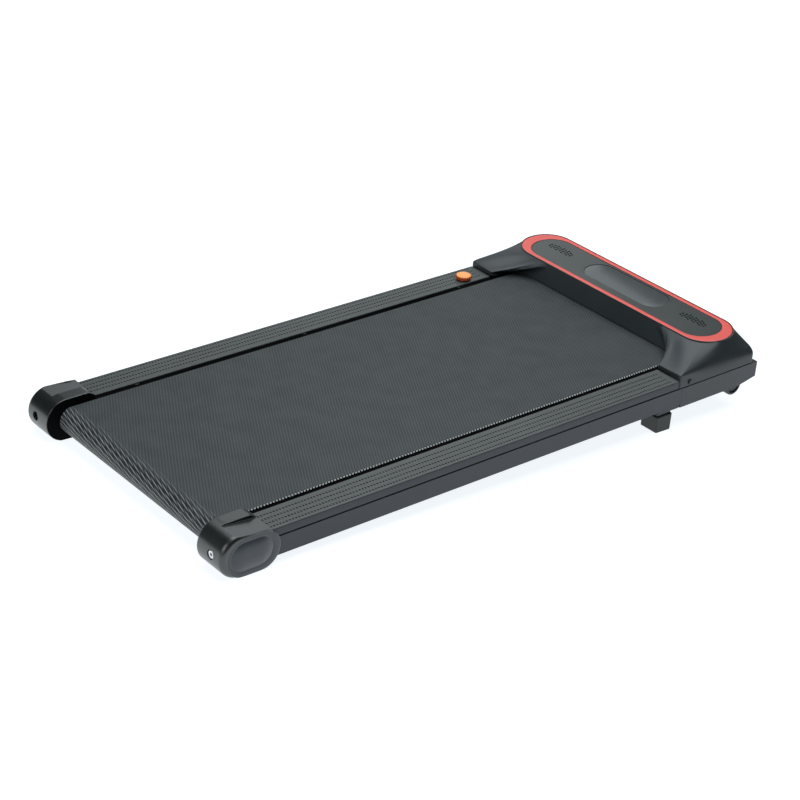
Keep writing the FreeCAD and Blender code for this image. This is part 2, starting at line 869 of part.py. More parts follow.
def oil_cap_seal():
    low = oil_flange + oil_stack_gap
    ring = rod_z(oil_seal_radius, low, low + oil_seal, oil_x, oil_y)
    bore_radius = oil_stem_radius + running_clearance
    return ring.cut(rod_z(bore_radius, low - overrun, low + oil_seal + overrun, oil_x, oil_y))


def oil_cap():
    low = oil_flange + oil_seal + 2 * oil_stack_gap
    knob = rod_z(oil_cap_radius, low, low + oil_cap_height, oil_x, oil_y)
    for k in range(oil_scallops):
        angle = 2 * math.pi * k / oil_scallops
        reach = oil_cap_radius + oil_scallop_radius / 2
        knob = knob.cut(rod_z(oil_scallop_radius, low - overrun, low + oil_cap_height + overrun,
                              oil_x + reach * math.cos(angle), oil_y + reach * math.sin(angle)))
    top_edges = [e for e in knob.Edges if e.BoundBox.ZMin > low + oil_cap_height - running_clearance]
    knob = knob.makeFillet(oil_cap_edge, top_edges)
    return joined([knob, rod_z(oil_stem_radius, low - oil_stem_length, low, oil_x, oil_y)])


# Rear caps and side covers
def cap_outline(radius, x, y, z, front, toe):
    # A round nose about (y, z), straight above and below, with a rounded toe at the front.
    slant = toe * (1 - math.sqrt(1 / 2))
    return wire_through([
        (V(x, front, z + radius), None),
        (V(x, y, z + radius), V(x, y - radius, z)),
        (V(x, y, z - radius), None),
        (V(x, front - toe, z - radius), V(x, front - slant, z - radius + slant)),
        (V(x, front, z - radius + toe), None),
    ])


def cap_form(inset, x0, x1, front):
    # The outer rim is rounded on a longer form, which is then trimmed to its square front and toe.
    def straight(reach):
        outline = cap_outline(cap_radius - inset, x0, cap_nose_y, cap_nose_z, reach, cap_toe)
        return raised(outline, along_x * (x1 - x0))

    form = straight(cap_toe + cap_rim)
    rim = [e for e in form.Edges if e.BoundBox.XMin > x1 - running_clearance]
    return form.makeFillet(cap_rim - inset, rim).common(straight(front))


def above_slope(start, length, rise, drop):
    # What lies above a slope that climbs from the cap's front edge back towards its nose.
    low = cap_front_z - drop
    high = cap_top + overrun
    wedge = Part.makePolygon([
        V(start, overrun, low), V(start, overrun, high), V(start, -length, high),
        V(start, -length, low + rise), V(start, 0, low), V(start, overrun, low)])
    return raised(wedge, along_x * (cap_outer_x + overrun - start))


def cap_shaped(form, drop):
    # The brow falls to the front edge over the full width, and the outer part is stepped down.
    brow = above_slope(cap_inner_x - overrun, cap_brow_length, cap_top - cap_front_z, drop)
    step = above_slope(cap_step_x - drop, cap_step_length, cap_step_rise, drop)
    return form.cut(brow).cut(step)


def rear_cap():
    outside = cap_form(0, cap_inner_x, cap_outer_x, 0)
    inner_rim = [e for e in outside.Edges if e.BoundBox.XMax < cap_inner_x + running_clearance]
    outside = cap_shaped(outside.makeFillet(cap_edge, inner_rim), 0)
    room = cap_shaped(cap_form(cap_wall, cap_inner_x + cap_wall, cap_wall_x, overrun), cap_wall)
    web = room.common(box(cap_inner_x, cap_wall_x, cap_web_y, cap_web_y + cap_web_wall,
                          cap_top - 2 * cap_radius, cap_top))
    web = web.cut(box(beam_inner - slip_clearance, rail_outer + slip_clearance, beam_rear - overrun, 0,
                      beam_bottom - slip_clearance, beam_top + slip_clearance))
    web = web.cut(rail_envelope(slip_clearance))
    solid = joined([outside.cut(room), web])
    slot_radius = axle_radius + cap_wall
    slot = side_stadium(tension_travel / 2 + slot_radius, slot_radius, cap_inner_x - overrun,
                        rear_axis_y + tension_travel / 2, axis_z)
    access = rod_y(access_radius, cap_nose_y - 2 * cap_radius, yoke_tab_y - yoke_wall, tension_bolt_x, axis_z)
    solid = solid.cut(raised(slot, along_x * (cap_wall + 2 * overrun))).cut(access)
    peg_hole = rod_x(peg_radius + seat_clearance, cap_wall_x - overrun, cap_outer_x + overrun, peg_y,
                     cover_centre_z)
    return solid.cut(peg_hole).cut(cap_screw(seat_clearance))


def cap_screw(clearance):
    length = cap_screw_length + clearance
    screw = countersunk_screw(cap_screw_radius + clearance, cap_screw_head_radius + clearance, length)
    screw.rotate(V(0, 0, 0), along_y, 90)
    screw.translate(V(cap_outer_x, cap_screw_y, cap_screw_z))
    return screw


def cap_cover():
    plate = raised(side_stadium(cover_half_length, cover_radius, cap_outer_x, cover_centre_y, cover_centre_z),
                   along_x * cover_thickness)
    outer_x = cap_outer_x + cover_thickness
    rim = [e for e in plate.Edges if e.BoundBox.XMin > outer_x - running_clearance]
    plate = plate.makeFillet(cover_edge, rim)
    dish = side_stadium(dish_half_length, dish_radius, outer_x - dish_depth, dish_centre_y, dish_centre_z)
    plate = plate.cut(raised(dish, along_x * (dish_depth + overrun)))
    pad = side_stadium(cover_half_length, cover_radius, cap_wall_x, cover_centre_y, cover_centre_z)
    pad = raised(pad, along_x * (cap_outer_x - cap_wall_x))
    pad = pad.common(box(cap_wall_x, cap_outer_x, slip_clearance, cover_half_length,
                         cover_centre_z - cover_radius, cover_centre_z + cover_radius))
    peg = rod_x(peg_radius, cap_wall_x, cap_outer_x, peg_y, cover_centre_z)
    return joined([plate, pad, peg])


# Motor pan and the power module
def pan_section(x, rear, front, top, bottom, nose, slope):
    return Part.makePolygon([V(x, rear, top), V(x, front, top), V(x, front, nose), V(x, slope, bottom),
                             V(x, rear, bottom), V(x, rear, top)])


def motor_pan():
    outside = pan_section(-rail_outer, pan_rear, pan_front, pan_top, pan_bottom, pan_nose_bottom, pan_slope_y)
    tray = raised(outside, along_x * (2 * rail_outer))
    side = rail_outer - pan_wall
    inside = pan_section(-side, pan_rear - overrun, pan_front - pan_wall, pan_top + overrun,
                         pan_bottom + pan_wall, pan_nose_bottom + pan_wall, pan_slope_y)
    room = raised(inside, along_x * (2 * side))
    rim = box(-rail_outer, rail_outer, pan_front - pan_rim, pan_front, pan_top - pan_wall, pan_top)
    pieces = [tray.cut(room), rim]
    for x in pan_boss_places():
        pieces.append(rod_z(pan_boss_radius, pan_bottom + pan_wall, cradle_top - cradle_plate, x, pan_boss_y))
    pan = joined(pieces)
    slot_half = wheel_radius + wheel_slot_gap
    slot = box(plate_inner - wheel_nut_height - wheel_slot_gap, side,
               wheel_y - slot_half, wheel_y + slot_half,
               pan_bottom - overrun, pan_nose_bottom + pan_wall + overrun)
    pan = pan.cut(pair(slot))
    hole_radius = cover_screw_radius + seat_clearance
    for x in pan_boss_places():
        pan = pan.cut(rod_z(hole_radius, pan_bottom - overrun, cradle_top, x, pan_boss_y))
    return pan.cut(module_room())


def module_place(share):
    return module_x + share * module_length


def module_room():
    rooms = []
    start = pan_front - pan_wall - overrun
    end = pan_front + overrun
    for share, length, height in (
        (inlet_x_share, inlet_length, inlet_height),
        (switch_x_share, switch_length, switch_height),
    ):
        x = module_place(share)
        half = length / 2 + pan_wall
        reach = height / 2 + seat_clearance
        rooms.append(box(x - half, x + half, start, end, module_z - reach, module_z + reach))
    reset_room = reset_radius + 2 * reset_collar
    rooms.append(rod_y(reset_room, start, end, module_place(reset_x_share), module_z))
    return Part.makeCompound(rooms)


def module_box(share, length, height, start, end):
    x = module_place(share)
    return box(x - length / 2, x + length / 2, start, end, module_z - height / 2, module_z + height / 2)


def power_inlet():
    plate = module_box(0, module_length, module_height, pan_front, module_front)
    plate = plate.makeFillet(module_edge, box_edges(plate, along_y))
    inlet_back = module_front - inlet_depth
    switch_back = module_front - switch_box_depth
    switch_outside = switch_length + 2 * (pan_wall - seat_clearance)
    reset = module_place(reset_x_share)
    module = joined([
        plate,
        module_box(inlet_x_share, inlet_length, inlet_height, inlet_back, module_front),
        module_box(switch_x_share, switch_outside, switch_height, switch_back, module_front),
        rod_y(reset_radius + reset_collar, module_front - reset_length, module_front, reset, module_z),
    ])
    end = module_front + overrun
    module = module.cut(module_box(inlet_x_share, inlet_length - 2 * inlet_wall,
                                   inlet_height - 2 * inlet_wall, inlet_back + inlet_wall, end))
    module = module.cut(module_box(switch_x_share, switch_length, switch_height - inlet_wall,
                                   switch_back + inlet_wall, end))
    module = module.cut(rod_y(reset_radius + running_clearance, module_front - reset_length + inlet_wall, end,
                              reset, module_z))
    pins = []
    for k, lift in ((-1, 0), (0, 1), (1, 0)):
        x = module_place(inlet_x_share) + k * pin_pitch
        z = module_z + (lift - 1 / 2) * pin_height / 2
        pins.append(box(x - pin_width / 2, x + pin_width / 2, inlet_back + inlet_wall / 2,
                        inlet_back + inlet_wall + pin_length, z - pin_height / 2, z + pin_height / 2))
    return joined([module] + pins)


def power_switch():
    # A rocker on a cross pin: a shallow V in front and a round back about its pivot.
    x = module_place(switch_x_share)
    pivot_y = module_front - switch_pivot_depth
    half = switch_length / 2 - 2 * slip_clearance
    rise = math.tan(math.radians(switch_angle)) * half
    low = module_z - switch_height / 2 + inlet_wall / 2 + slip_clearance
    height = 2 * (module_z - low)
    front = module_front + switch_proud - rise
    outline = Part.makePolygon([
        V(x - half + rise, pivot_y, low), V(x - half, front + rise, low), V(x, front, low),
        V(x + half, front + rise, low), V(x + half - rise, pivot_y, low), V(x - half + rise, pivot_y, low)])
    rocker = raised(outline, along_z * height)
    rocker.rotate(V(x, pivot_y, low), along_z, -switch_angle)
    pin_half = switch_height / 2 - inlet_wall / 2 - running_clearance
    pin = rod_z(switch_pivot_depth / 2, module_z - pin_half, module_z + pin_half, x, pivot_y)
    return joined([rocker, pin])


def reset_button():
    end = module_front + reset_proud
    start = module_front - reset_length + inlet_wall + reset_travel + slip_clearance
    button = rod_y(reset_radius, start, end, module_place(reset_x_share), module_z)
    tip = [e for e in button.Edges if e.BoundBox.YMin > end - running_clearance]
    return button.makeFillet(cover_edge, tip)


# Hood with its flared legs, ring trim, top panel, display and speakers
def hood_outline(blend, inset, z):
    # Stations of the right half at the skirt, each with the middle of the edge that follows it.
    fillet_x = hood_leg_inner_x - hood_inner_fillet
    fillet_y = hood_rear - hood_inner_fillet
    fillet = hood_inner_fillet + inset
    corner_x = rail_outer - hood_corner
    corner_y = hood_front - hood_corner
    corner = hood_corner - inset
    slant = math.sqrt(1 / 2)
    inner_x = hood_leg_inner_x + inset
    outer_x = rail_outer - inset
    leg_y = hood_leg_end + inset
    skirt = [
        (fillet_x, hood_rear + inset), (fillet_x + slant * fillet, fillet_y + slant * fillet),
        (inner_x, fillet_y), (inner_x, (fillet_y + leg_y) / 2),
        (inner_x, leg_y), ((inner_x + outer_x) / 2, leg_y),
        (outer_x, leg_y), (outer_x, (leg_y + corner_y) / 2),
        (outer_x, corner_y), (corner_x + slant * corner, corner_y + slant * corner),
        (corner_x, hood_front - inset),
    ]
    angles = []
    for share, following in zip(crown_angle_shares, crown_angle_shares[1:] + (None,)):
        angles.append(share * math.pi / 2)
        if following is not None:
            angles.append((share + following) * math.pi / 4)
    radius = ring_radius - inset
    crown = [(crown_middle + radius * math.cos(a), ring_y + radius * math.sin(a)) for a in angles]
    right = []
    for at_skirt, at_crown in zip(skirt, crown):
        x, y = [(1 - blend) * s + blend * c for s, c in zip(at_skirt, at_crown)]
        right.append(V(x, y, z))
    left = [V(-p.x, p.y, p.z) for p in reversed(right)]
    edges = []
    for side in (right, left):
        for k in range(0, len(side) - 1, 2):
            start, middle, end = side[k], side[k + 1], side[k + 2]
            bow = middle.distanceToLine(start, end - start)
            if bow < running_clearance / 2:
                edges.append(Part.LineSegment(start, end).toShape())
            else:
                edges.append(Part.Arc(start, middle, end).toShape())
        other = left[0] if side is right else right[0]
        edges.append(Part.LineSegment(side[-1], other).toShape())
    wire = Part.Wire(edges)
    wire.rotate(V(0, ring_y, z), along_x, crown_tilt * blend)
    return wire


def hood_body(inset, low, shoulder, crown):
    skirt = raised(hood_outline(0, inset, low), along_z * (shoulder - low))
    sections = []
    for height_share, blend_share in zip(flare_height_shares, flare_blend_shares):
        sections.append(hood_outline(blend_share, inset, shoulder + height_share * (crown - shoulder)))
    flare = Part.makeLoft(sections, True, False)
    return skirt.fuse(flare)


def crown_placed(shape):
    crown = FreeCAD.Placement(V(0, ring_y, ring_seat), FreeCAD.Rotation(along_x, crown_tilt))
    shape.Placement = crown.multiply(shape.Placement)
    return shape


def hood():
    outside = hood_body(0, hood_bottom, hood_shoulder, ring_seat)
    inside = hood_body(hood_wall, hood_bottom - overrun, hood_shoulder - hood_wall, ring_seat - hood_roof)
    shell = outside.cut(inside)
    tunnel_half = beam_inner + overrun
    tunnel = box(-tunnel_half, tunnel_half, hood_leg_end - overrun, hood_front - 2 * hood_wall,
                 hood_bottom - overrun, hood_tunnel_top)
    seat_depth = panel_thickness - (ring_thickness - panel_drop)
    seat = flat_stadium(panel_half_length, panel_radius, 0, 0, -seat_depth)
    seat = crown_placed(raised(seat, along_z * (seat_depth + overrun)))
    ledge = flat_stadium(panel_half_length - panel_ledge, panel_radius - panel_ledge, 0, 0, -2 * hood_roof)
    ledge = crown_placed(raised(ledge, along_z * (2 * hood_roof)))
    screw_hole = rod_x(cover_screw_radius + seat_clearance, rail_outer - 2 * hood_wall, rail_outer + overrun,
                       hood_post_y, hood_post_z)
    return shell.cut(tunnel).cut(seat).cut(ledge).cut(pair(screw_hole))


def ring_trim():
    outer = raised(flat_stadium(ring_half_length, ring_radius, 0, 0, 0), along_z * ring_thickness)
    rim = [e for e in outer.Edges if e.BoundBox.ZMin > ring_thickness - running_clearance]
    outer = outer.makeFillet(ring_edge, rim)
    inner = flat_stadium(panel_half_length, panel_radius, 0, 0, -overrun)
    return crown_placed(outer.cut(raised(inner, along_z * (ring_thickness + 2 * overrun))))


def speaker_places():
    return [speaker_offset - speaker_x, speaker_offset + speaker_x]


def sound_holes(top):
    holes = []
    low = top - panel_thickness - overrun
    for x in speaker_places():
        for row in range(sound_hole_rows):
            for column in range(sound_hole_columns):
                u = (column - (sound_hole_columns - 1) / 2 + (row % 2 - 1 / 2) / 2) * sound_hole_pitch
                v = speaker_shift + (row - (sound_hole_rows - 1) / 2) * sound_row_pitch
                holes.append(rod_z(sound_hole_radius, low, top + overrun, x + u, v))
    return Part.makeCompound(holes)


def top_panel():
    top = ring_thickness - panel_drop
    low = top - panel_thickness
    outline = flat_stadium(panel_half_length - panel_clearance, panel_radius - panel_clearance, 0, 0, low)
    plate = raised(outline, along_z * panel_thickness)
    opening = flat_stadium(window_half_length, window_radius, 0, window_shift, low - overrun)
    plate = plate.cut(raised(opening, along_z * (panel_thickness + 2 * overrun)))
    plate = plate.cut(sound_holes(top))
    posts = []
    for x in (-1, 1):
        posts.append(rod_z(display_post_radius, low - display_post_height, low,
                           x * (window_half_length + 2 * display_post_radius), window_shift))
    return crown_placed(joined([plate] + posts))


def display_window():
    top = ring_thickness - panel_drop
    lens = flat_stadium(window_half_length - window_clearance, window_radius - window_clearance,
                        0, window_shift, top - panel_thickness)
    return crown_placed(raised(lens, along_z * panel_thickness))


def display_board():
    glass = ring_thickness - panel_drop - panel_thickness
    top = glass - display_post_height
    half = window_half_length + 2 * display_post_radius + display_post_inset
    reach = display_board_depth / 2
    board = box(-half, half, window_shift - reach, window_shift + reach, top - board_thickness, top)
    led_half = window_half_length - led_inset
    leds = box(-led_half, led_half, window_shift - led_depth / 2, window_shift + led_depth / 2, top, glass)
    return crown_placed(joined([board, leds]))


def speakers():
    top = ring_thickness - panel_drop - panel_thickness
    pieces = []
    for x in speaker_places():
        basket = rod_z(speaker_radius, top - speaker_basket, top, x, speaker_shift)
        magnet = rod_z(speaker_magnet_radius, top - speaker_height, top - speaker_basket, x, speaker_shift)
        pieces.append(joined([basket, magnet]))
    return crown_placed(Part.makeCompound(pieces))


def cover_screw():
    # Standing on the origin with its round head above z 0.
    head = Part.makeCylinder(cover_screw_head_radius, cover_screw_head_height)
    shank = Part.makeCylinder(cover_screw_radius, cover_screw_grip, V(0, 0, -cover_screw_grip))
    return joined([head, shank])


def cover_screws():
    side = cover_screw()
    side.rotate(V(0, 0, 0), along_y, 90)
    side.translate(V(rail_outer, hood_post_y, hood_post_z))
    screws = [side, mirrored(side)]
    for x in pan_boss_places():
        screw = cover_screw()
        screw.rotate(V(0, 0, 0), along_x, 180)
        screw.translate(V(x, pan_boss_y, pan_bottom))
        screws.append(screw)
    return Part.makeCompound(screws)


nodes = {
    "rear_crossmember": cross_member(cross_places[0]),
    "middle_crossmember": cross_member(cross_places[1]),
    "front_crossmember": cross_member(cross_places[2]),
    "deck_board": deck_board(),
    "deck_cushions": deck_cushions(),
    "deck_screws": deck_screws(0),
    "running_belt": running_belt(),
    "front_roller": roller(front_axis_y),
    "front_roller_bearings": roller_bearings(front_axis_y),
    "front_axle": front_axle(),
    "front_axle_bolts": front_axle_bolts(),
    "roller_pulley": roller_pulley(),
    "rear_roller": roller(rear_axis_y),
    "rear_roller_bearings": roller_bearings(rear_axis_y),
    "rear_axle": rear_axle(),
    "motor_cradle": motor_cradle(),
    "motor_can": motor_can(),
    "motor_armature": motor_armature(),
    "motor_pulley": motor_pulley(),
    "motor_fan": motor_fan(),
    "drive_belt": drive_belt(),
    "control_board": control_board(),
    "heat_sink": heat_sink(),
    "wheel_axles": wheel_axles(),
    "oil_port": oil_port(),
    "oil_cap": oil_cap(),
    "oil_cap_seal": oil_cap_seal(),
    "cap_screws": pair(cap_screw(0)),
    "motor_pan": motor_pan(),
    "power_inlet": power_inlet(),
    "power_switch": power_switch(),
    "reset_button": reset_button(),
    "hood": hood(),
    "ring_trim": ring_trim(),
    "top_panel": top_panel(),
    "display_window": display_window(),
    "display_board": display_board(),
    "speakers": speakers(),
    "cover_screws": cover_screws(),
}
handed = {
    "side_beam": side_beam(),
    "front_plate": front_plate(),
    "axle_yoke": axle_yoke(),
    "foot_bracket": foot_bracket(),
    "front_foot": foot_boot(),
    "foot_rail": foot_rail(),
    "tension_bolt": tension_bolt(),
    "rear_cap": rear_cap(),
    "cap_cover": cap_cover(),
    "wheel": wheel(),
}
for name, shape in handed.items():
    nodes["right_" + name] = shape
    nodes["left_" + name] = mirrored(shape)
oil_hole = rod_z(oil_bush_radius + seat_clearance, -2 * rail_plate, overrun, oil_x, oil_y)
nodes["left_foot_rail"] = nodes["left_foot_rail"].cut(oil_hole)

# The pad stands on its rear caps and front feet: tip it, set it on the floor and trim the soles level.
tip = FreeCAD.Placement(V(0, 0, 0), FreeCAD.Rotation(along_x, incline))
for shape in nodes.values():
    shape.Placement = tip.multiply(shape.Placement)
floor_z = tip.multVec(V(0, cover_centre_y, -cap_drop)).z
extent = Part.makeCompound(list(nodes.values())).optimalBoundingBox(False, False)
stand = FreeCAD.Placement(V(0, -(extent.YMin + extent.YMax) / 2, -floor_z), FreeCAD.Rotation())
for shape in nodes.values():
    shape.Placement = stand.multiply(shape.Placement)
under_floor = box(-2 * rail_outer, 2 * rail_outer, -extent.YLength, extent.YLength, -foot_drop, 0)
for side in ("left_", "right_"):
    for sole in ("rear_cap", "cap_cover", "front_foot"):
        nodes[side + sole] = nodes[side + sole].cut(under_floor)

os.makedirs("parts", exist_ok=True)
for name, shape in nodes.items():
    shape.exportStep("parts/" + name + ".step")
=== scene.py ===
import math

import bpy
from mathutils import Matrix, Vector


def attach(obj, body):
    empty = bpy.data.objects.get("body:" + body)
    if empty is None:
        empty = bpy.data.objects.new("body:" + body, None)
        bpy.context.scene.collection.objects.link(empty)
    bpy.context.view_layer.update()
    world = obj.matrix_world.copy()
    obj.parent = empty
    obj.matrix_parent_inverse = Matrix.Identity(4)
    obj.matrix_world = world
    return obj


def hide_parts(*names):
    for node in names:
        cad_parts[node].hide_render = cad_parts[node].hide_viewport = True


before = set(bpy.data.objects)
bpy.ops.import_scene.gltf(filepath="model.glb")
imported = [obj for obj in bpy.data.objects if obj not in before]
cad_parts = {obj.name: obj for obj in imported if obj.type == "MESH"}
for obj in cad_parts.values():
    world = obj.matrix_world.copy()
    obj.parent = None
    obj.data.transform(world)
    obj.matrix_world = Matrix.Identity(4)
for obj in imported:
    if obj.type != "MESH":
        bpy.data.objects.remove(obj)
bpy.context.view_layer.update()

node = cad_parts


# Steel frame: two box-section side beams, three cross members, front plates, axle yokes, foot brackets
# and the motor cradle, welded from mild steel and powder coated in satin slate grey.
def new_finish(name):
    made = bpy.data.materials.new(name)
    made.use_nodes = True
    return made, made.node_tree.nodes, made.node_tree.links, made.node_tree.nodes["Principled BSDF"]


def place_of(nodes, source="Object"):
    return nodes.new("ShaderNodeTexCoord").outputs[source]


def noise(nodes, links, scale, detail=3.0, roughness=0.5):
    made = nodes.new("ShaderNodeTexNoise")
    made.inputs["Scale"].default_value = scale
    made.inputs["Detail"].default_value = detail
    made.inputs["Roughness"].default_value = roughness
    links.new(place_of(nodes), made.inputs["Vector"])
    return made.outputs["Fac"]


def between(nodes, links, factor, low, high, start=0.0, end=1.0):
    made = nodes.new("ShaderNodeMapRange")
    made.inputs["From Min"].default_value = start
    made.inputs["From Max"].default_value = end
    made.inputs["To Min"].default_value = low
    made.inputs["To Max"].default_value = high
    links.new(factor, made.inputs["Value"])
    return made.outputs["Result"]


def two_tone(nodes, links, factor, dark, light, start=0.3, end=0.7):
    made = nodes.new("ShaderNodeValToRGB")
    made.color_ramp.elements[0].position = start
    made.color_ramp.elements[0].color = (*dark, 1)
    made.color_ramp.elements[1].position = end
    made.color_ramp.elements[1].color = (*light, 1)
    links.new(factor, made.inputs["Fac"])
    return made.outputs["Color"]


def bumped(nodes, links, shader, height, strength, distance, edge=0.0):
    made = nodes.new("ShaderNodeBump")
    made.inputs["Strength"].default_value = strength
    made.inputs["Distance"].default_value = distance
    links.new(height, made.inputs["Height"])
    links.new(made.outputs["Normal"], shader.inputs["Normal"])
    if edge:
        rounded = nodes.new("ShaderNodeBevel")
        rounded.samples = 4
        rounded.inputs["Radius"].default_value = edge
        links.new(rounded.outputs["Normal"], made.inputs["Normal"])


def grained(name, dark, light, roughness, grain, depth, metal=0.0, blotch=9.0, edge=0.0):
    # A slow drift of tone under a fine grain that breaks up the gloss, with edges rounded by the mould.
    made, nodes, links, shader = new_finish(name)
    tone = two_tone(nodes, links, noise(nodes, links, blotch), dark, light)
    links.new(tone, shader.inputs["Base Color"])
    fine = noise(nodes, links, grain, detail=2.0, roughness=0.6)
    links.new(between(nodes, links, fine, *roughness), shader.inputs["Roughness"])
    shader.inputs["Metallic"].default_value = metal
    bumped(nodes, links, shader, fine, strength=0.5, distance=depth, edge=edge)
    return made


def dress(finish, *names):
    for name in names:
        node[name].data.materials.clear()
        node[name].data.materials.append(finish)


slate_coat = grained("slate_powder_coat", (0.012, 0.017, 0.025), (0.016, 0.022, 0.031),
                     roughness=(0.38, 0.50), grain=900, depth=0.00012, edge=0.0012)
dress(slate_coat, "left_side_beam", "right_side_beam", "rear_crossmember", "middle_crossmember",
      "front_crossmember", "left_front_plate", "right_front_plate", "left_axle_yoke", "right_axle_yoke",
      "left_foot_bracket", "right_foot_bracket", "motor_cradle")

# Deck: a fibreboard panel faced with black film, under the belt's upper run. The film is painted near-black
# with its sheen turned off, as painted shade in the gaps beside the belt.
# It is screwed to the cross members through rubber cushions, of the same rubber as the feet and the oil seal.
# Painted shade: a near-black film with no sheen, standing in for the shadow between belt and rails.
deck_painted_shade = grained("black_deck_face_painted_shade", (0.002, 0.002, 0.002), (0.004, 0.004, 0.004),
                    roughness=(0.6, 0.75), grain=320, depth=0.00005)
deck_painted_shade.node_tree.nodes["Principled BSDF"].inputs["Specular IOR Level"].default_value = 0.0
dress(deck_painted_shade, "deck_board")
soft_black = grained("soft_black_rubber", (0.018, 0.020, 0.021), (0.030, 0.032, 0.033),
                     roughness=(0.5, 0.65), grain=700, depth=0.00015, edge=0.001)
dress(soft_black, "deck_cushions", "left_front_foot", "right_front_foot", "oil_cap_seal", "drive_belt")

# Rollers, axles, bearings and bolts: steel, turned and zinc plated. The rollers run on sealed ball
# bearings, the front axle is bolted to the plates and the rear one is drawn back by the tension bolts.
zinc = grained("zinc_plate", (0.52, 0.53, 0.55), (0.68, 0.69, 0.71),
               roughness=(0.18, 0.34), grain=420, depth=0.00003, metal=1.0)
dress(zinc, "deck_screws", "front_roller", "rear_roller", "front_roller_bearings", "rear_roller_bearings",
      "front_axle", "rear_axle", "front_axle_bolts", "left_tension_bolt", "motor_armature")

# Running belt: an endless polyester weave with a ribbed PVC face, overlocked in white thread along both
# edges and run round the two rollers over the deck board.
deck_place = (0, -0.469056, 0.061305)
deck_lean = math.radians(2.13447)
deck = Matrix.Translation(deck_place) @ Matrix.Rotation(deck_lean, 4, "X")
seam_reach = 0.00002


def wrapped(name, columns, rows, place):
    # A grid laid on a surface: place(i, j) is the point of column i and row j, and seams are merged.
    bpy.ops.object.select_all(action="DESELECT")
    bpy.ops.mesh.primitive_grid_add(x_subdivisions=columns - 1, y_subdivisions=rows - 1, size=1)
    made = bpy.context.object
    made.name = made.data.name = name
    for vertex in made.data.vertices:
        i = round((vertex.co.x + 0.5) * (columns - 1))
        j = round((vertex.co.y + 0.5) * (rows - 1))
        vertex.co = place(i, j)
    bpy.ops.object.mode_set(mode="EDIT")
    bpy.ops.mesh.select_all(action="SELECT")
    bpy.ops.mesh.remove_doubles(threshold=seam_reach)
    bpy.ops.mesh.normals_make_consistent(inside=False)
    bpy.ops.object.mode_set(mode="OBJECT")
    return made


def settle(piece, crease, body, slot, *replaced):
    # Shades the piece, tips it with the deck, ties it to its body and hides the CAD nodes that it replaces.
    bpy.ops.object.select_all(action="DESELECT")
    piece.select_set(True)
    bpy.context.view_layer.objects.active = piece
    bpy.ops.object.shade_smooth_by_angle(angle=math.radians(crease))
    piece.data.transform(deck)
    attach(piece, body)
    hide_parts(*replaced)


belt_half = 0.200
belt_radius = 0.0223
belt_thickness = 0.002
belt_edge_width = 0.0008
belt_edge_depth = 0.0014
rear_y = -0.045
front_y = 0.903
axis_z = -0.0233
arc_steps = 40
belt_crease = 40

belt_path = [(rear_y, math.pi * (3 / 2 - k / arc_steps)) for k in range(arc_steps + 1)]
belt_path += [(front_y, math.pi * (1 / 2 - k / arc_steps)) for k in range(arc_steps + 1)]
belt_path.append(belt_path[0])
belt_side = [(belt_half - belt_edge_width, 0), (belt_half, belt_edge_depth), (belt_half, belt_thickness)]
belt_section = belt_side + [(-x, depth) for x, depth in reversed(belt_side)] + belt_side[:1]


def belt_place(i, j):
    centre, angle = belt_path[i]
    x, depth = belt_section[j]
    reach = belt_radius - depth
    return x, centre + reach * math.cos(angle), axis_z + reach * math.sin(angle)


def belt_run(y, z):
    # Distance along the belt, counted both ways from the middle of its top.
    middle = (rear_y + front_y) / 2
    end = front_y if y > middle else rear_y
    beyond = abs(y - middle) - abs(end - middle)
    if beyond < 0:
        return y - middle if z > axis_z else math.copysign(
            abs(end - middle) * 2 + math.pi * belt_radius - abs(y - middle), y - middle)
    turn = math.atan2(beyond, z - axis_z)
    return math.copysign(abs(end - middle) + belt_radius * turn, y - middle)


belt = wrapped("running_belt_face", len(belt_path), len(belt_section), belt_place)
belt_map = belt.data.uv_layers.active.data
for loop in belt.data.loops:
    corner = belt.data.vertices[loop.vertex_index].co
    belt_map[loop.index].uv = (corner.x, belt_run(corner.y, corner.z))

rib_pitch = 0.0046
rib_turn = math.radians(60)
rib_share = 0.35
weave_pitch = 0.0026
weave_turn = math.radians(35)
mottle_scale = 26.0
mottle_share = 0.6


def along(nodes, links, turn, pitch):
    # A sine wave across the belt's map, turned from its width and repeating at the pitch.
    made = nodes.new("ShaderNodeVectorMath")
    made.operation = "DOT_PRODUCT"
    rate = 2 * math.pi / pitch
    made.inputs[1].default_value = (rate * math.cos(turn), rate * math.sin(turn), 0)
    links.new(place_of(nodes, "UV"), made.inputs[0])
    wave = nodes.new("ShaderNodeMath")
    wave.operation = "SINE"
    links.new(made.outputs["Value"], wave.inputs[0])
    return wave.outputs["Value"]


def combined(nodes, links, operation, first, second):
    made = nodes.new("ShaderNodeMath")
    made.operation = operation
    for socket, value in zip(made.inputs, (first, second)):
        if isinstance(value, float):
            socket.default_value = value
        else:
            links.new(value, socket)
    return made.outputs["Value"]


belt_face, nodes, links, shader = new_finish("ribbed_belt_face")
ribs = along(nodes, links, rib_turn, rib_pitch)
weave = combined(nodes, links, "MULTIPLY", along(nodes, links, weave_turn, weave_pitch),
                 along(nodes, links, -weave_turn, weave_pitch))
mottle = combined(nodes, links, "MULTIPLY", noise(nodes, links, mottle_scale), mottle_share)
raised = between(nodes, links, ribs, low=0.05, high=0.65, start=-1, end=1)
tone = combined(nodes, links, "ADD", raised, mottle)
face_tone = two_tone(nodes, links, tone, (0.008, 0.0108, 0.0116), (0.034, 0.041, 0.0427), start=0.3, end=0.95)
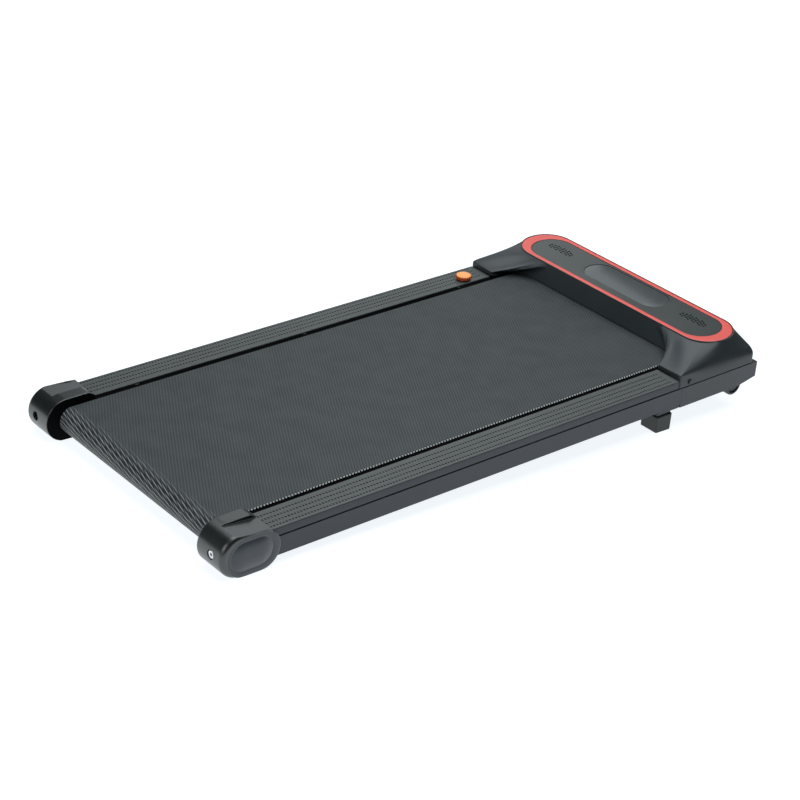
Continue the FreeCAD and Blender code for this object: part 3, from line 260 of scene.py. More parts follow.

# Painted glints: light streaks in a pattern of crossing weave threads, painted on the face only where it
# bends round the rear roller, standing in for the highlights that the weave catches there.
thread_pitch = 0.0060
thread_turn = math.radians(82)
cross_pitch = 0.0032
cross_turn = math.radians(74)
fray_scale = 60.0
fray_share = 0.3
painted_glint_cover = 0.85
nose_lead = 0.005
nose_fade = 0.022
nose_start = rear_y - (rear_y + front_y) / 2 + nose_lead
nose_full = nose_start - nose_fade
split = nodes.new("ShaderNodeSeparateXYZ")
links.new(place_of(nodes, "UV"), split.inputs["Vector"])
threads = combined(nodes, links, "ADD", along(nodes, links, thread_turn, thread_pitch),
                   along(nodes, links, cross_turn, cross_pitch))
fray = combined(nodes, links, "MULTIPLY", noise(nodes, links, fray_scale), fray_share)
crossing = between(nodes, links, threads, low=-0.1, high=0.8, start=-2, end=2)
streaks = combined(nodes, links, "ADD", crossing, fray)
painted_glint_tone = two_tone(nodes, links, streaks, (0.004, 0.005, 0.006), (0.30, 0.32, 0.325),
                       start=0.50, end=0.92)
# The glints are painted only over the bend round the rear roller.
bend = between(nodes, links, split.outputs["Y"], low=0.0, high=1.0, start=nose_start, end=nose_full)
painted_glints = nodes.new("ShaderNodeMix")
painted_glints.data_type = "RGBA"
links.new(combined(nodes, links, "MULTIPLY", bend, painted_glint_cover), painted_glints.inputs["Factor"])
links.new(face_tone, painted_glints.inputs["A"])
links.new(painted_glint_tone, painted_glints.inputs["B"])
links.new(painted_glints.outputs["Result"], shader.inputs["Base Color"])
links.new(between(nodes, links, weave, low=0.50, high=0.64, start=-1, end=1), shader.inputs["Roughness"])
shader.inputs["Specular IOR Level"].default_value = 0.4
height = combined(nodes, links, "ADD", combined(nodes, links, "MULTIPLY", ribs, rib_share), weave)
bumped(nodes, links, shader, height, strength=0.6, distance=0.00012)
belt.data.materials.append(belt_face)

# White overlock thread, which shows as a row of stitches on the belt's cut edges.
stitch_pitch = 0.0056
stitch_turn = math.radians(90)
edge_facing = 0.6
belt_hem, nodes, links, shader = new_finish("overlocked_belt_edge")
stitch = between(nodes, links, along(nodes, links, stitch_turn, stitch_pitch), low=0, high=1, start=-1, end=1)
yarn = two_tone(nodes, links, stitch, (0.01, 0.011, 0.012), (0.90, 0.91, 0.91), start=0.40, end=0.55)
links.new(yarn, shader.inputs["Base Color"])
shader.inputs["Roughness"].default_value = 0.8
belt.data.materials.append(belt_hem)
for face in belt.data.polygons:
    face.material_index = int(abs(face.normal.x) > edge_facing)
settle(belt, belt_crease, "frame", "belt_rubber", "running_belt")

# Foot rails: moulded ABS channels clipped over the side beams, with four rows of grip pits in the top
# and a lip that hangs over the outside of the beam. The left one is bored for the oil filler.
# The pit floors are painted near-black and the upright faces a darker blue-grey than the top, as painted
# shade.
rail_inner = 0.211
rail_outer = 0.262
rail_rear = -0.020
rail_front = 0.825
rail_lip = 0.0135
rail_wall = 0.0025
rail_foot = 0.003
rail_round = 0.0022
rail_inner_round = 0.0008
rail_round_steps = 5
pit_rows = [rail_inner + reach for reach in (0.0122, 0.0228, 0.0334, 0.0440)]
pit_half_width = 0.0018
pit_pitch = 0.0056
pit_length = 0.0028
pit_slope = 0.0002
pit_depth = 0.0011
pit_margin = 0.006
top_facing = 0.9
side_facing = 0.8
rail_crease = 35
oil_x = -0.226
oil_y = 0.776
oil_hole = 0.0115
oil_hole_sides = 64
oil_clear = 0.0175
drill_length = 0.2

rail_tops = [x + d for x in pit_rows for d in (-pit_half_width, pit_half_width)]
rail_section = [(rail_inner, -rail_foot), (rail_inner, -rail_inner_round), (rail_inner + rail_inner_round, 0)]
rail_section += [(x, 0) for x in rail_tops]
for k in range(rail_round_steps + 1):
    turn = math.pi / 2 * (1 - k / rail_round_steps)
    rail_section.append((rail_outer - rail_round * (1 - math.cos(turn)),
                         rail_round * (math.sin(turn) - 1)))
rail_section += [(rail_outer, -rail_lip), (rail_outer - rail_wall, -rail_lip),
                 (rail_outer - rail_wall, -rail_wall), (rail_inner + rail_wall, -rail_wall),
                 (rail_inner + rail_wall, -rail_foot), (rail_inner, -rail_foot)]
pit_count = int((rail_front - rail_rear - 2 * pit_margin) / pit_pitch)
pit_starts = [rail_rear + pit_margin + pit_pitch * k for k in range(pit_count)]
rail_stops = [rail_rear] + [y for start in pit_starts for y in (start, start + pit_length)] + [rail_front]

rail_plastic = grained("rail_plastic", (0.038, 0.042, 0.0415), (0.048, 0.053, 0.0515),
                       roughness=(0.42, 0.55), grain=800, depth=0.00015)
pit_painted_shade = grained("rail_pit_painted_shade", (0.004, 0.004, 0.005), (0.007, 0.007, 0.008),
                    roughness=(0.6, 0.75), grain=800, depth=0.0001)
rail_side_painted_shade = grained("rail_side_painted_shade", (0.014, 0.018, 0.025), (0.018, 0.023, 0.031),
                    roughness=(0.40, 0.52), grain=800, depth=0.00015)


def is_pit(face, side):
    x, y, z = face.center
    row = min(abs(abs(x) - row) for row in pit_rows)
    in_row = row < pit_half_width / 2 and z > -pit_depth / 2 and face.normal.z > top_facing
    in_step = (y - rail_rear - pit_margin) % pit_pitch < pit_length and pit_starts[0] < y < rail_stops[-2]
    by_oil = side < 0 and math.hypot(x - oil_x, y - oil_y) < oil_clear
    return in_row and in_step and not by_oil


def bored(piece, places, radius, sides):
    # Upright holes, cut by a gang of drills that is then thrown away.
    bpy.ops.object.select_all(action="DESELECT")
    drills = []
    for x, y in places:
        bpy.ops.mesh.primitive_cylinder_add(vertices=sides, radius=radius, depth=drill_length,
                                            location=(x, y, 0))
        drills.append(bpy.context.object)
    for drill in drills:
        drill.select_set(True)
    bpy.ops.object.join()
    gang = bpy.context.object
    cut = piece.modifiers.new("bore", "BOOLEAN")
    cut.object = gang
    bpy.context.view_layer.objects.active = piece
    bpy.ops.object.modifier_apply(modifier=cut.name)
    bpy.data.objects.remove(gang)


for side, name in ((1, "right_foot_rail"), (-1, "left_foot_rail")):
    rail = wrapped(name + "_channel", len(rail_stops), len(rail_section),
                   lambda i, j: (side * rail_section[j][0], rail_stops[i], rail_section[j][1]))
    pits = [is_pit(face, side) for face in rail.data.polygons]
    rail.data.materials.append(rail_plastic)
    rail.data.materials.append(pit_painted_shade)
    rail.data.materials.append(rail_side_painted_shade)
    # Upright faces take the darker grey of painted shade.
    for face in rail.data.polygons:
        face.material_index = 2 * int(abs(face.normal.x) > side_facing)
    bpy.ops.object.mode_set(mode="EDIT")
    bpy.ops.mesh.select_all(action="SELECT")
    bpy.ops.mesh.fill_holes(sides=0)
    bpy.ops.mesh.select_mode(type="FACE")
    bpy.ops.mesh.select_all(action="DESELECT")
    bpy.ops.object.mode_set(mode="OBJECT")
    for face, pit in zip(rail.data.polygons, pits):
        face.select = pit
    bpy.ops.object.mode_set(mode="EDIT")
    bpy.ops.mesh.inset(thickness=pit_slope, depth=-pit_depth, use_individual=True)
    # The pit floors take the near-black of painted shade.
    rail.active_material_index = 1
    bpy.ops.object.material_slot_assign()
    bpy.ops.object.mode_set(mode="OBJECT")
    if side < 0:
        bored(rail, [(oil_x, oil_y)], oil_hole, oil_hole_sides)
    settle(rail, rail_crease, "frame", "rail_plastic", name)

# Rear caps: moulded shells in satin black that close the frame's ends over the yokes and tension bolts,
# each held to its beam by a countersunk screw. Their inner walls, facing the belt, are painted near-black
# with almost no sheen, as painted shade.
cap_inner = 0.2045
cap_inner_edge = 0.0012
cap_wall_facing = 0.9
cap_plastic = grained("cap_plastic", (0.006, 0.0075, 0.008), (0.009, 0.0110, 0.0115),
                      roughness=(0.25, 0.33), grain=850, depth=0.00006, edge=0.0014)
cap_plastic.node_tree.nodes["Principled BSDF"].inputs["IOR"].default_value = 1.75
cap_wall_painted_shade = grained("cap_inner_wall_painted_shade", (0.0010, 0.0012, 0.0014), (0.0020, 0.0022, 0.0024),
                  roughness=(0.7, 0.8), grain=850, depth=0.00006)
cap_wall_painted_shade.node_tree.nodes["Principled BSDF"].inputs["Specular IOR Level"].default_value = 0.05
dress(cap_plastic, "left_rear_cap", "right_rear_cap")
for name in ("left_rear_cap", "right_rear_cap"):
    shell = node[name].data
    shell.materials.append(cap_wall_painted_shade)
    # Walls facing the belt take the near-black of painted shade.
    for face in shell.polygons:
        inward = abs(face.center.x) < cap_inner + cap_inner_edge / 2
        face.material_index = int(abs(face.normal.x) > cap_wall_facing and inward)

# Right tension bolt: a zinc plated steel bolt with a round head and a hexagon socket. It draws the rear axle
# back, and is run out until its head stands in the mouth of the cap.
bolt_x = 0.238
bolt_head = 0.0070
bolt_shank = 0.0040
bolt_socket = 0.0024
bolt_floor_y = -0.0822
bolt_mouth_y = -0.0861
bolt_seat_y = -0.0760
bolt_tip_y = -0.0240
bolt_rounding = [(0.0060, -0.0864), (0.0067, -0.0859), (bolt_head, -0.0852)]
bolt_rows = [(0.0, bolt_floor_y), (bolt_socket, bolt_floor_y), (bolt_socket, bolt_mouth_y)] + bolt_rounding
bolt_rows += [(bolt_head, bolt_seat_y), (bolt_shank, bolt_seat_y)]
bolt_rows += [(bolt_shank, bolt_tip_y), (0.0, bolt_tip_y)]
bolt_steps = 48
bolt_crease = 35


def bolt_place(i, j):
    radius, y = bolt_rows[j]
    angle = 2 * math.pi * i / bolt_steps
    if radius == bolt_socket:
        radius /= math.cos(angle % (math.pi / 3) - math.pi / 6)
    return bolt_x + radius * math.cos(angle), y, axis_z + radius * math.sin(angle)


bolt = wrapped("right_tension_bolt_head", bolt_steps + 1, len(bolt_rows), bolt_place)
bolt.data.materials.append(zinc)
settle(bolt, bolt_crease, "right_tension_bolt", "bare_steel", "right_tension_bolt")

# Cap covers: oval plates in slate plastic with a pillowed middle inside a fine groove, pegged on the outside
# of the caps and standing on the floor.
cover_back = 0.2620
cover_base = 0.2642
cover_face = 0.2656
cover_nose = Vector((-0.0465, -0.0270))
cover_nose_radius = 0.0338
cover_toe = Vector((-0.0169, -0.0274))
cover_toe_radius = 0.0334
cover_edge = 0.0005
cover_roll_width = 0.0070
cover_roll_steps = 10
pillow_middle = Vector((-0.0345, -0.0262))
pillow_half_length = 0.0370
pillow_radius = 0.0240
pillow_height = 0.0046
pillow_steps = 14
pillow_fullness = 2.2
pole_gap = 0.0001
groove_half_width = 0.0012
groove_depth = 0.0005
groove_steps = 2
rim_facing = 0.3
cover_crease = 40
stadium_steps = 96


def stadium(half_length, radius, share):
    # A point of a stadium: its four stretches, two half circles and two straight sides, take a quarter each.
    straight = half_length - radius
    quarter = int(share * 4) % 4
    along_it = share * 4 - int(share * 4)
    sign = 1 if quarter < 2 else -1
    if quarter % 2:
        return Vector((sign * straight * (1 - 2 * along_it), sign * radius))
    angle = math.pi * (along_it - 1 / 2)
    return Vector((sign * (straight + radius * math.cos(angle)), sign * radius * math.sin(angle)))


def cover_ring(inset, share):
    # The cap's outline: a half circle round the nose, a smaller one round the toe, and two straight sides.
    quarter = int(share * 4) % 4
    along_it = share * 4 - int(share * 4)
    nose_end = Vector((0, cover_nose_radius - inset))
    toe_end = Vector((0, cover_toe_radius - inset))
    if quarter == 1:
        return (cover_toe + toe_end).lerp(cover_nose + nose_end, along_it)
    if quarter == 3:
        return (cover_nose - nose_end).lerp(cover_toe - toe_end, along_it)
    angle = math.pi * (along_it + quarter / 2 - 1 / 2)
    middle, reach = (cover_nose, nose_end) if quarter else (cover_toe, toe_end)
    return middle + reach.y * Vector((math.cos(angle), math.sin(angle)))


def pillow_ring(inset, share):
    return pillow_middle + stadium(pillow_half_length - inset, pillow_radius - inset, share)


def smooth(share):
    return share * share * (3 - 2 * share)


def mixed(ends, share):
    return ends[0] + (ends[1] - ends[0]) * share


cover_rows = [lambda share: (cover_back, cover_ring(0, share)),
              lambda share: (cover_base - cover_edge, cover_ring(0, share))]
for k in range(cover_roll_steps + 1):
    turn = math.pi / 2 * k / cover_roll_steps
    cover_rows.append(lambda share, turn=turn: (
        mixed((cover_base, cover_face), math.sin(turn)),
        cover_ring(cover_edge + cover_roll_width * (1 - math.cos(turn)), share)))
for k in range(-groove_steps, groove_steps + 1):
    cover_rows.append(lambda share, k=k: (
        cover_face - groove_depth * smooth(1 - abs(k) / groove_steps),
        pillow_ring(groove_half_width * k / groove_steps, share)))
pillow_reach = pillow_radius - groove_half_width - pole_gap
for k in range(1, pillow_steps + 1):
    cover_rows.append(lambda share, k=k: (
        cover_face + pillow_height * (1 - (1 - k / pillow_steps) ** pillow_fullness),
        pillow_ring(groove_half_width + pillow_reach * k / pillow_steps, share)))

cover_plastic = grained("cover_plastic", (0.030, 0.037, 0.045), (0.037, 0.045, 0.054),
                        roughness=(0.26, 0.34), grain=850, depth=0.00006)
for side, name in ((1, "right_cap_cover"), (-1, "left_cap_cover")):
    def cover_place(i, j):
        x, point = cover_rows[j](i / stadium_steps)
        return side * x, point.x, point.y

    cover = wrapped(name + "_plate", stadium_steps + 1, len(cover_rows), cover_place)
    cover.data.materials.append(cover_plastic)
    cover.data.materials.append(cap_plastic)
    for face in cover.data.polygons:
        face.material_index = int(abs(face.normal.x) < rim_facing)
    settle(cover, cover_crease, "frame", "cover_plastic", name)

# Drive: a painted DC motor and two cast aluminium pulleys, in the bay under the hood and out of sight in
# use, with the cast heat sink of the control board.
motor_paint = grained("motor_paint", (0.03, 0.03, 0.033), (0.045, 0.045, 0.05),
                      roughness=(0.3, 0.45), grain=600, depth=0.0001)
dress(motor_paint, "motor_can")
cast_aluminium = grained("cast_aluminium", (0.55, 0.56, 0.58), (0.7, 0.71, 0.73),
                         roughness=(0.3, 0.5), grain=500, depth=0.00005, metal=1.0)
dress(cast_aluminium, "heat_sink", "roller_pulley", "motor_pulley")

# Control and display boards: glass fibre laminate under green solder mask, screwed inside the hood.
# The first drives the motor, and the second stands behind the display window.
board_green = grained("solder_mask", (0.01, 0.09, 0.04), (0.02, 0.14, 0.06),
                      roughness=(0.2, 0.35), grain=300, depth=0.00005)
dress(board_green, "control_board", "display_board")

# Small mouldings and screws: black nylon for the wheels, the inlet, the fan, the speakers and the reset
# button, a glossy red rocker in the inlet, and blacked steel for the screws and wheel axles.
black_plastic = grained("black_plastic", (0.013, 0.013, 0.015), (0.021, 0.021, 0.023),
                        roughness=(0.35, 0.5), grain=800, depth=0.0001, edge=0.0006)
dress(black_plastic, "oil_port", "power_inlet", "motor_fan", "speakers", "left_wheel", "right_wheel",
      "reset_button")
black_screw = grained("blacked_screws", (0.02, 0.02, 0.022), (0.035, 0.035, 0.037),
                      roughness=(0.25, 0.4), grain=600, depth=0.00005, metal=0.6)
dress(black_screw, "cap_screws", "cover_screws", "wheel_axles")
switch_red = grained("switch_red", (0.45, 0.02, 0.015), (0.55, 0.03, 0.02),
                     roughness=(0.15, 0.25), grain=500, depth=0.00003)
dress(switch_red, "power_switch")

# Motor pan: the moulded ABS tray that closes the motor bay from below, flush with the side beams.
# It is fixed to the front plates and carries the inlet in its front wall.
pan_plastic = grained("pan_plastic", (0.013, 0.017, 0.023), (0.017, 0.022, 0.029),
                      roughness=(0.36, 0.48), grain=850, depth=0.0001, edge=0.0012)
dress(pan_plastic, "motor_pan")

# Hood: one ABS moulding over the motor bay. Its walls sweep up from a plain skirt to the oval crown, and two
# legs run back over the ends of the foot rails, scooped out towards the belt.
hood_rear = 0.886
hood_leg_end = 0.827
hood_front = 1.008
hood_leg_inner = 0.209
hood_fillet = 0.036
hood_corner = 0.008
hood_nip = 0.003
hood_shoulder = 0.0085
hood_bottom = -0.0144
hood_tunnel_top = 0.0005
hood_tunnel_half = 0.2415
crown_y = 0.948
crown_z = 0.035
crown_radius = 0.0496
crown_middle = 0.194
crown_tilt = math.radians(2.7)
crown_land = 0.009
hood_wall = 0.0025
hood_lip_rise = 0.0016
hood_lip_width = 0.0013
hood_lip_drop = 0.0022
hood_full_ease = 0.5
hood_roll = 0.018
hood_bow = 0.013
hood_bow_lean = 0.85
hood_crease = 50
rise_steps = 22
fillet_steps = 6

# Corners of the right half at the skirt, each with the crown angle that it sweeps up to.
hood_corners = [
    (Vector((hood_leg_inner - hood_fillet, hood_rear)), -180.0),
    (Vector((hood_leg_inner, hood_rear - hood_fillet)), -152.0),
    (Vector((hood_leg_inner, hood_leg_end)), -126.0),
    (Vector((rail_outer, hood_leg_end)), -56.0),
    (Vector((rail_outer, hood_front - hood_corner)), 45.0),
    (Vector((rail_outer - hood_corner, hood_front)), 90.0),
]


def crown_point(degrees):
    # Angles before -90 run back along the crown's straight rear side.
    angle = math.radians(degrees)
    if degrees < -90:
        return Vector((crown_middle + crown_radius * (angle + math.pi / 2), crown_y - crown_radius))
    return Vector((crown_middle + crown_radius * math.cos(angle), crown_y + crown_radius * math.sin(angle)))


hood_stations = []


def station(skirt, crown, sag, ease, lift, bow=0.0):
    # One upright strip of the wall: sag bends it hollow, ease rounds its shoulder, lift is the share of the
    # skirt's full height that the shoulder has there, and bow the share of the scoop's depth.
    hood_stations.append((skirt, crown, sag, ease, lift, bow))


def stretch(start, end, steps, sags, eases, lifts=(1, 1), bows=(0, 0)):
    # A straight run of strips between two corners.
    for k in range(steps):
        share = k / steps
        soft = smooth(share)
        station(start[0].lerp(end[0], share), crown_point(mixed((start[1], end[1]), share)),
                mixed(sags, soft), mixed(eases, soft), mixed(lifts, soft), mixed(bows, soft))


def turned(centre, radius, angles, crown_angles, steps, sags, eases, lifts=(1, 1), bows=(0, 0)):
    # The same round a corner of the skirt.
    for k in range(steps):
        share = k / steps
        soft = smooth(share)
        angle = math.radians(mixed(angles, share))
        station(centre + Vector((math.cos(angle), math.sin(angle))) * radius,
                crown_point(mixed(crown_angles, share)), mixed(sags, soft), mixed(eases, soft),
                mixed(lifts, soft), mixed(bows, soft))


wall, scoop, inner_end, outer_end, flank, nose = hood_corners
wall_steps = 24
wall_ease = 0.06
wall_lift = 0.1
leg_ease = 0.03
front_sag = 1.1
front_ease = 0.25
inner_nip_turn = 9.0
outer_nip_turn = 5.0
nip_steps = 10
nip_y = Vector((0, hood_nip))
nip_x = Vector((hood_nip, 0))
inner_nip = (inner_end[1] - inner_nip_turn, inner_end[1] + inner_nip_turn)
outer_nip = (outer_end[1] - outer_nip_turn, outer_end[1] + outer_nip_turn)
flank_middle = (Vector((rail_outer, mixed((hood_leg_end, hood_front), 0.5))),
                mixed((outer_nip[1], flank[1]), 0.5))
for k in range(wall_steps):
    share = k / wall_steps
    station(wall[0] * share + Vector((0, hood_rear * (1 - share))),
            Vector((crown_point(wall[1]).x * share, crown_y - crown_radius)),
            sag=1.0, ease=wall_ease, lift=wall_lift)
turned(wall[0] - Vector((0, hood_fillet)), hood_fillet, (90, 0), (wall[1], scoop[1]), steps=20,
       sags=(1.0, 1.15), eases=(wall_ease, leg_ease), lifts=(wall_lift, 0.2), bows=(0, 0.2))
stretch(scoop, (inner_end[0] + nip_y, inner_nip[0]), steps=8,
        sags=(1.15, 1.1), eases=(leg_ease, leg_ease), lifts=(0.2, 0.85), bows=(0.2, 0.7))
turned(inner_end[0] + nip_y + nip_x, hood_nip, (180, 270), inner_nip, nip_steps,
       sags=(1.1, 1.1), eases=(leg_ease, leg_ease), lifts=(0.85, 1.0), bows=(0.7, 0.7))
stretch((inner_end[0] + nip_x, inner_nip[1]), (outer_end[0] - nip_x, outer_nip[0]), steps=14,
        sags=(1.1, 0.85), eases=(leg_ease, leg_ease), bows=(0.7, 0))
turned(outer_end[0] - nip_x + nip_y, hood_nip, (270, 360), outer_nip, nip_steps,
       sags=(0.85, 0.78), eases=(leg_ease, 0.06))
stretch((outer_end[0] + nip_y, outer_nip[1]), flank_middle, steps=14, sags=(0.78, 1.1), eases=(0.06, 0.45))
stretch(flank_middle, flank, steps=14, sags=(1.1, front_sag), eases=(0.45, 0.30))
turned(flank[0] - Vector((hood_corner, 0)), hood_corner, (0, 90), (flank[1], nose[1]), steps=10,
       sags=(front_sag, front_sag), eases=(front_ease, front_ease))
for k in range(wall_steps + 1):
    share = 1 - k / wall_steps
    station(Vector((nose[0].x * share, hood_front)), Vector((crown_middle * share, crown_y + crown_radius)),
            sag=front_sag, ease=front_ease, lift=1)
for skirt, crown, *shape in reversed(list(hood_stations)):
    station(Vector((-skirt.x, skirt.y)), Vector((-crown.x, crown.y)), *shape)
lip_floor = hood_lip_rise - hood_lip_drop
lip_rows = [(0, hood_lip_rise), (hood_lip_width, hood_lip_rise)]
lip_rows += [(hood_lip_width, lip_floor), (crown_land, lip_floor)]
hood_rows = 2 + (fillet_steps + 1) + rise_steps + len(lip_rows)


def shoulder_of(lift):
    return hood_tunnel_top + (hood_shoulder - hood_tunnel_top) * lift


def wall_point(strip, share):
    # A point of a strip's sweep from the skirt's shoulder (share 0) to the crown (share 1).
    skirt, crown, sag, ease, lift, bow = strip
    flat = skirt.lerp(crown, share) + Vector((0, hood_bow * bow * math.sin(math.pi * share ** hood_bow_lean)))
    z = mixed((shoulder_of(lift), crown_z), share ** sag)
    lean = crown_tilt * share
    y = flat.y - crown_y
    return Vector((flat.x, crown_y + y * math.cos(lean), z + y * math.sin(lean)))


def hood_place(i, j):
    strip = hood_stations[i % len(hood_stations)]
    skirt, crown, sag, ease, lift, bow = strip
    over_rail = abs(skirt.x) < hood_tunnel_half and skirt.y < hood_front - hood_corner
    base = Vector((skirt.x, skirt.y, hood_tunnel_top if over_rail else hood_bottom))
    if j == 0:
        inward = (crown - skirt).normalized() * hood_wall
        return base + Vector((inward.x, inward.y, 0))
    if j == 1:
        return base
    knee = Vector((skirt.x, skirt.y, shoulder_of(lift)))
    if j <= 2 + fillet_steps:
        share = (j - 2) / fillet_steps
        fall = hood_roll * min(1, ease / hood_full_ease)
        start = knee - Vector((0, 0, fall))
        bend = knee + Vector((0, 0, (crown_z - knee.z) * ease ** sag * (1 - sag)))
        return start.lerp(bend, share).lerp(bend.lerp(wall_point(strip, ease), share), share)
    k = j - 2 - fillet_steps
    if k <= rise_steps:
        return wall_point(strip, mixed((ease, 1), k / rise_steps))
    # The wall ends in a fine lip round the ring, then a land under it.
    middle = Vector((max(-crown_middle, min(crown_middle, crown.x)), crown_y))
    inward = (middle - crown).normalized()
    inset, height = lip_rows[k - rise_steps - 1]
    rise = Vector((0, 0, height))
    return wall_point(strip, 1) + Vector((inward.x, inward.y, math.sin(crown_tilt) * inward.y)) * inset + rise


hood = wrapped("hood_shell", len(hood_stations) + 1, hood_rows, hood_place)
hood_plastic = grained("hood_plastic", (0.019, 0.0235, 0.0255), (0.025, 0.0305, 0.033),
                       roughness=(0.32, 0.40), grain=850, depth=0.00006)
hood_plastic.node_tree.nodes["Principled BSDF"].inputs["Specular IOR Level"].default_value = 0.36
hood.data.materials.append(hood_plastic)
settle(hood, hood_crease, "frame", "hood_plastic", "hood")

# Ring trim: a moulding in coral ABS, glued into the recess round the hood's crown. It is wider at its
# ends than along its sides, and its edges are rolled. The rolled edges are painted a deep coral, as painted
# shade.
ring_lip = 0.0016
ring_half_length = 0.2436
ring_end_width = 0.0237
ring_side_width = 0.010
ring_thickness = 0.0013
ring_roll = 0.0008
ring_base = -0.0005
ring_flat = 0.96
ring_crease = 60
ring_steps = stadium_steps * 2
roll_steps = 4
crown = Matrix.Translation((0, crown_y, crown_z)) @ Matrix.Rotation(crown_tilt, 4, "X")


def ring_point(inset, share):
    # Inset 0 is the outer edge of the ring, just inside the hood's lip, and 1 its inner edge.
    return stadium(ring_half_length - mixed((ring_lip, ring_end_width), inset),
                   crown_radius - mixed((ring_lip, ring_side_width), inset), share)


def ring_edge(inset, height, share):
    edge = ring_point(inset, share)
    return crown @ Vector((edge.x, edge.y, height))


ring_rows = [(0.0, ring_base)]
for k in range(roll_steps + 1):
    turn = math.pi / 2 * k / roll_steps
    ring_rows.append((ring_roll / ring_side_width * (1 - math.cos(turn)),
                      ring_thickness - ring_roll * (1 - math.sin(turn))))
for inset, height in list(reversed(ring_rows)):
    ring_rows.append((1 - inset, height))
ring_rows.append(ring_rows[0])

ring = wrapped("ring_trim_band", ring_steps + 1, len(ring_rows),
               lambda i, j: ring_edge(*ring_rows[j], i / ring_steps))
ring_coral = grained("ring_coral", (0.58, 0.070, 0.057), (0.67, 0.085, 0.069),
                     roughness=(0.34, 0.46), grain=700, depth=0.00005)
ring_shade = grained("ring_coral_painted_shade", (0.15, 0.016, 0.014), (0.19, 0.021, 0.018),
                     roughness=(0.34, 0.46), grain=700, depth=0.00005)
ring.data.materials.append(ring_coral)
ring.data.materials.append(ring_shade)
# Rolled edges take the deep coral of painted shade.
for face in ring.data.polygons:
    face.material_index = int(face.normal.z < ring_flat)
settle(ring, ring_crease, "frame", "ring_coral", "ring_trim")

# Top panel: a moulded plate in satin grey ABS, set into the hood's crown inside the ring. It has a cut
# for the display window and a group of small holes over each of the two speakers. The walls of the holes
# are painted near-black, as painted shade.
panel_clearance = 0.00025
panel_half_length = ring_half_length - ring_end_width - panel_clearance
panel_radius = crown_radius - ring_side_width - panel_clearance
panel_top = 0.0005
panel_base = -0.0020
panel_edge = 0.0003
window_half_length = 0.094
window_radius = 0.029
window_shift = 0.0065
sound_pitch = 0.0133
sound_row_pitch = 0.0028
sound_radius = 0.0021
sound_sides = 20
sound_counts = (3, 4, 5, 4, 5, 4)
sound_middles = (-0.1697, 0.1604)
sound_shift = 0.0093
bore_facing = 0.5
panel_crease = 30
panel_rows = [(0, 0, panel_base), (0, 0, panel_top - panel_edge), (0, panel_edge, panel_top)]
panel_rows += [(1, -panel_edge, panel_top), (1, 0, panel_top - panel_edge), (1, 0, panel_base)]
panel_rows.append(panel_rows[0])


def panel_place(i, j):
    # Row shares of 0 follow the panel's outline, and of 1 the cut for the display.
    share, inset, height = panel_rows[j]
    outline = stadium(panel_half_length - inset, panel_radius - inset, i / ring_steps)
    opening = stadium(window_half_length - inset, window_radius - inset, i / ring_steps)
    edge = outline.lerp(opening + Vector((0, window_shift)), share)
    return crown @ Vector((edge.x, edge.y, height))


panel = wrapped("top_panel_plate", ring_steps + 1, len(panel_rows), panel_place)
holes = []
for middle in sound_middles:
    for row, count in enumerate(sound_counts):
        y = crown_y + sound_shift + ((len(sound_counts) - 1) / 2 - row) * sound_row_pitch
        holes += [(middle + (k - (count - 1) / 2) * sound_pitch, y) for k in range(count)]
bored(panel, holes, sound_radius, sound_sides)
panel_plastic = grained("panel_plastic", (0.026, 0.030, 0.0295), (0.033, 0.038, 0.037),
                        roughness=(0.28, 0.36), grain=850, depth=0.00006)
panel_bore_painted_shade = grained("panel_bore_painted_shade", (0.001, 0.001, 0.001), (0.002, 0.002, 0.002),
                     roughness=(0.7, 0.8), grain=850, depth=0.00006)
panel.data.materials.append(panel_plastic)
panel.data.materials.append(panel_bore_painted_shade)
# Hole walls take the near-black of painted shade.
for face in panel.data.polygons:
    face.material_index = int(abs(face.normal.z) < bore_facing)
settle(panel, panel_crease, "frame", "panel_plastic", "top_panel")

# Display window: a plate of smoked acrylic with rolled edges, bonded flush into the panel's cut over the
# display board, which is dark when the pad is off.
window_top = -0.0003
window_base = -0.0018
window_round = 0.0009
window_crease = 50
window_rows = [(0.0, window_base)]
for k in range(roll_steps + 1):
    turn = math.pi / 2 * k / roll_steps
    window_rows.append((window_round * (1 - math.cos(turn)),
                        window_top - window_round * (1 - math.sin(turn))))
window_rows.append((window_radius - pole_gap, window_top))


def window_place(i, j):
    inset, height = window_rows[j]
    edge = stadium(window_half_length - inset, window_radius - inset, i / stadium_steps)
    return crown @ Vector((edge.x, edge.y + window_shift, height))


window = wrapped("display_window_plate", stadium_steps + 1, len(window_rows), window_place)
window_smoke = grained("window_smoke", (0.050, 0.056, 0.057), (0.060, 0.067, 0.068),
                       roughness=(0.20, 0.26), grain=400, depth=0.00001)
window.data.materials.append(window_smoke)
settle(window, window_crease, "frame", "window_acrylic", "display_window")

# Oil cap: a moulded orange screw cap with a ribbed grip, a dished top and a short stem, screwed into the
# filler port in the left rail. Each row has its radius, its height and its share of the ribs' depth.
# The cap's sides are painted a deeper orange-red than its top, as painted shade.
cap_rows = [(0.0, -0.0025, 0), (0.0050, -0.0025, 0), (0.0050, 0.0021, 0), (0.0130, 0.0021, 1),
            (0.0137, 0.0027, 1), (0.0140, 0.0072, 1), (0.0137, 0.0083, 1), (0.0130, 0.0090, 0.8),
            (0.0118, 0.0092, 0.3), (0.0104, 0.0091, 0), (0.0096, 0.0087, 0), (0.0, 0.0087, 0)]
cap_ribs = 18
rib_depth = 0.0011
rib_sharpness = 3
rib_steps = 8
oil_flat = 0.6
oil_crease = 40


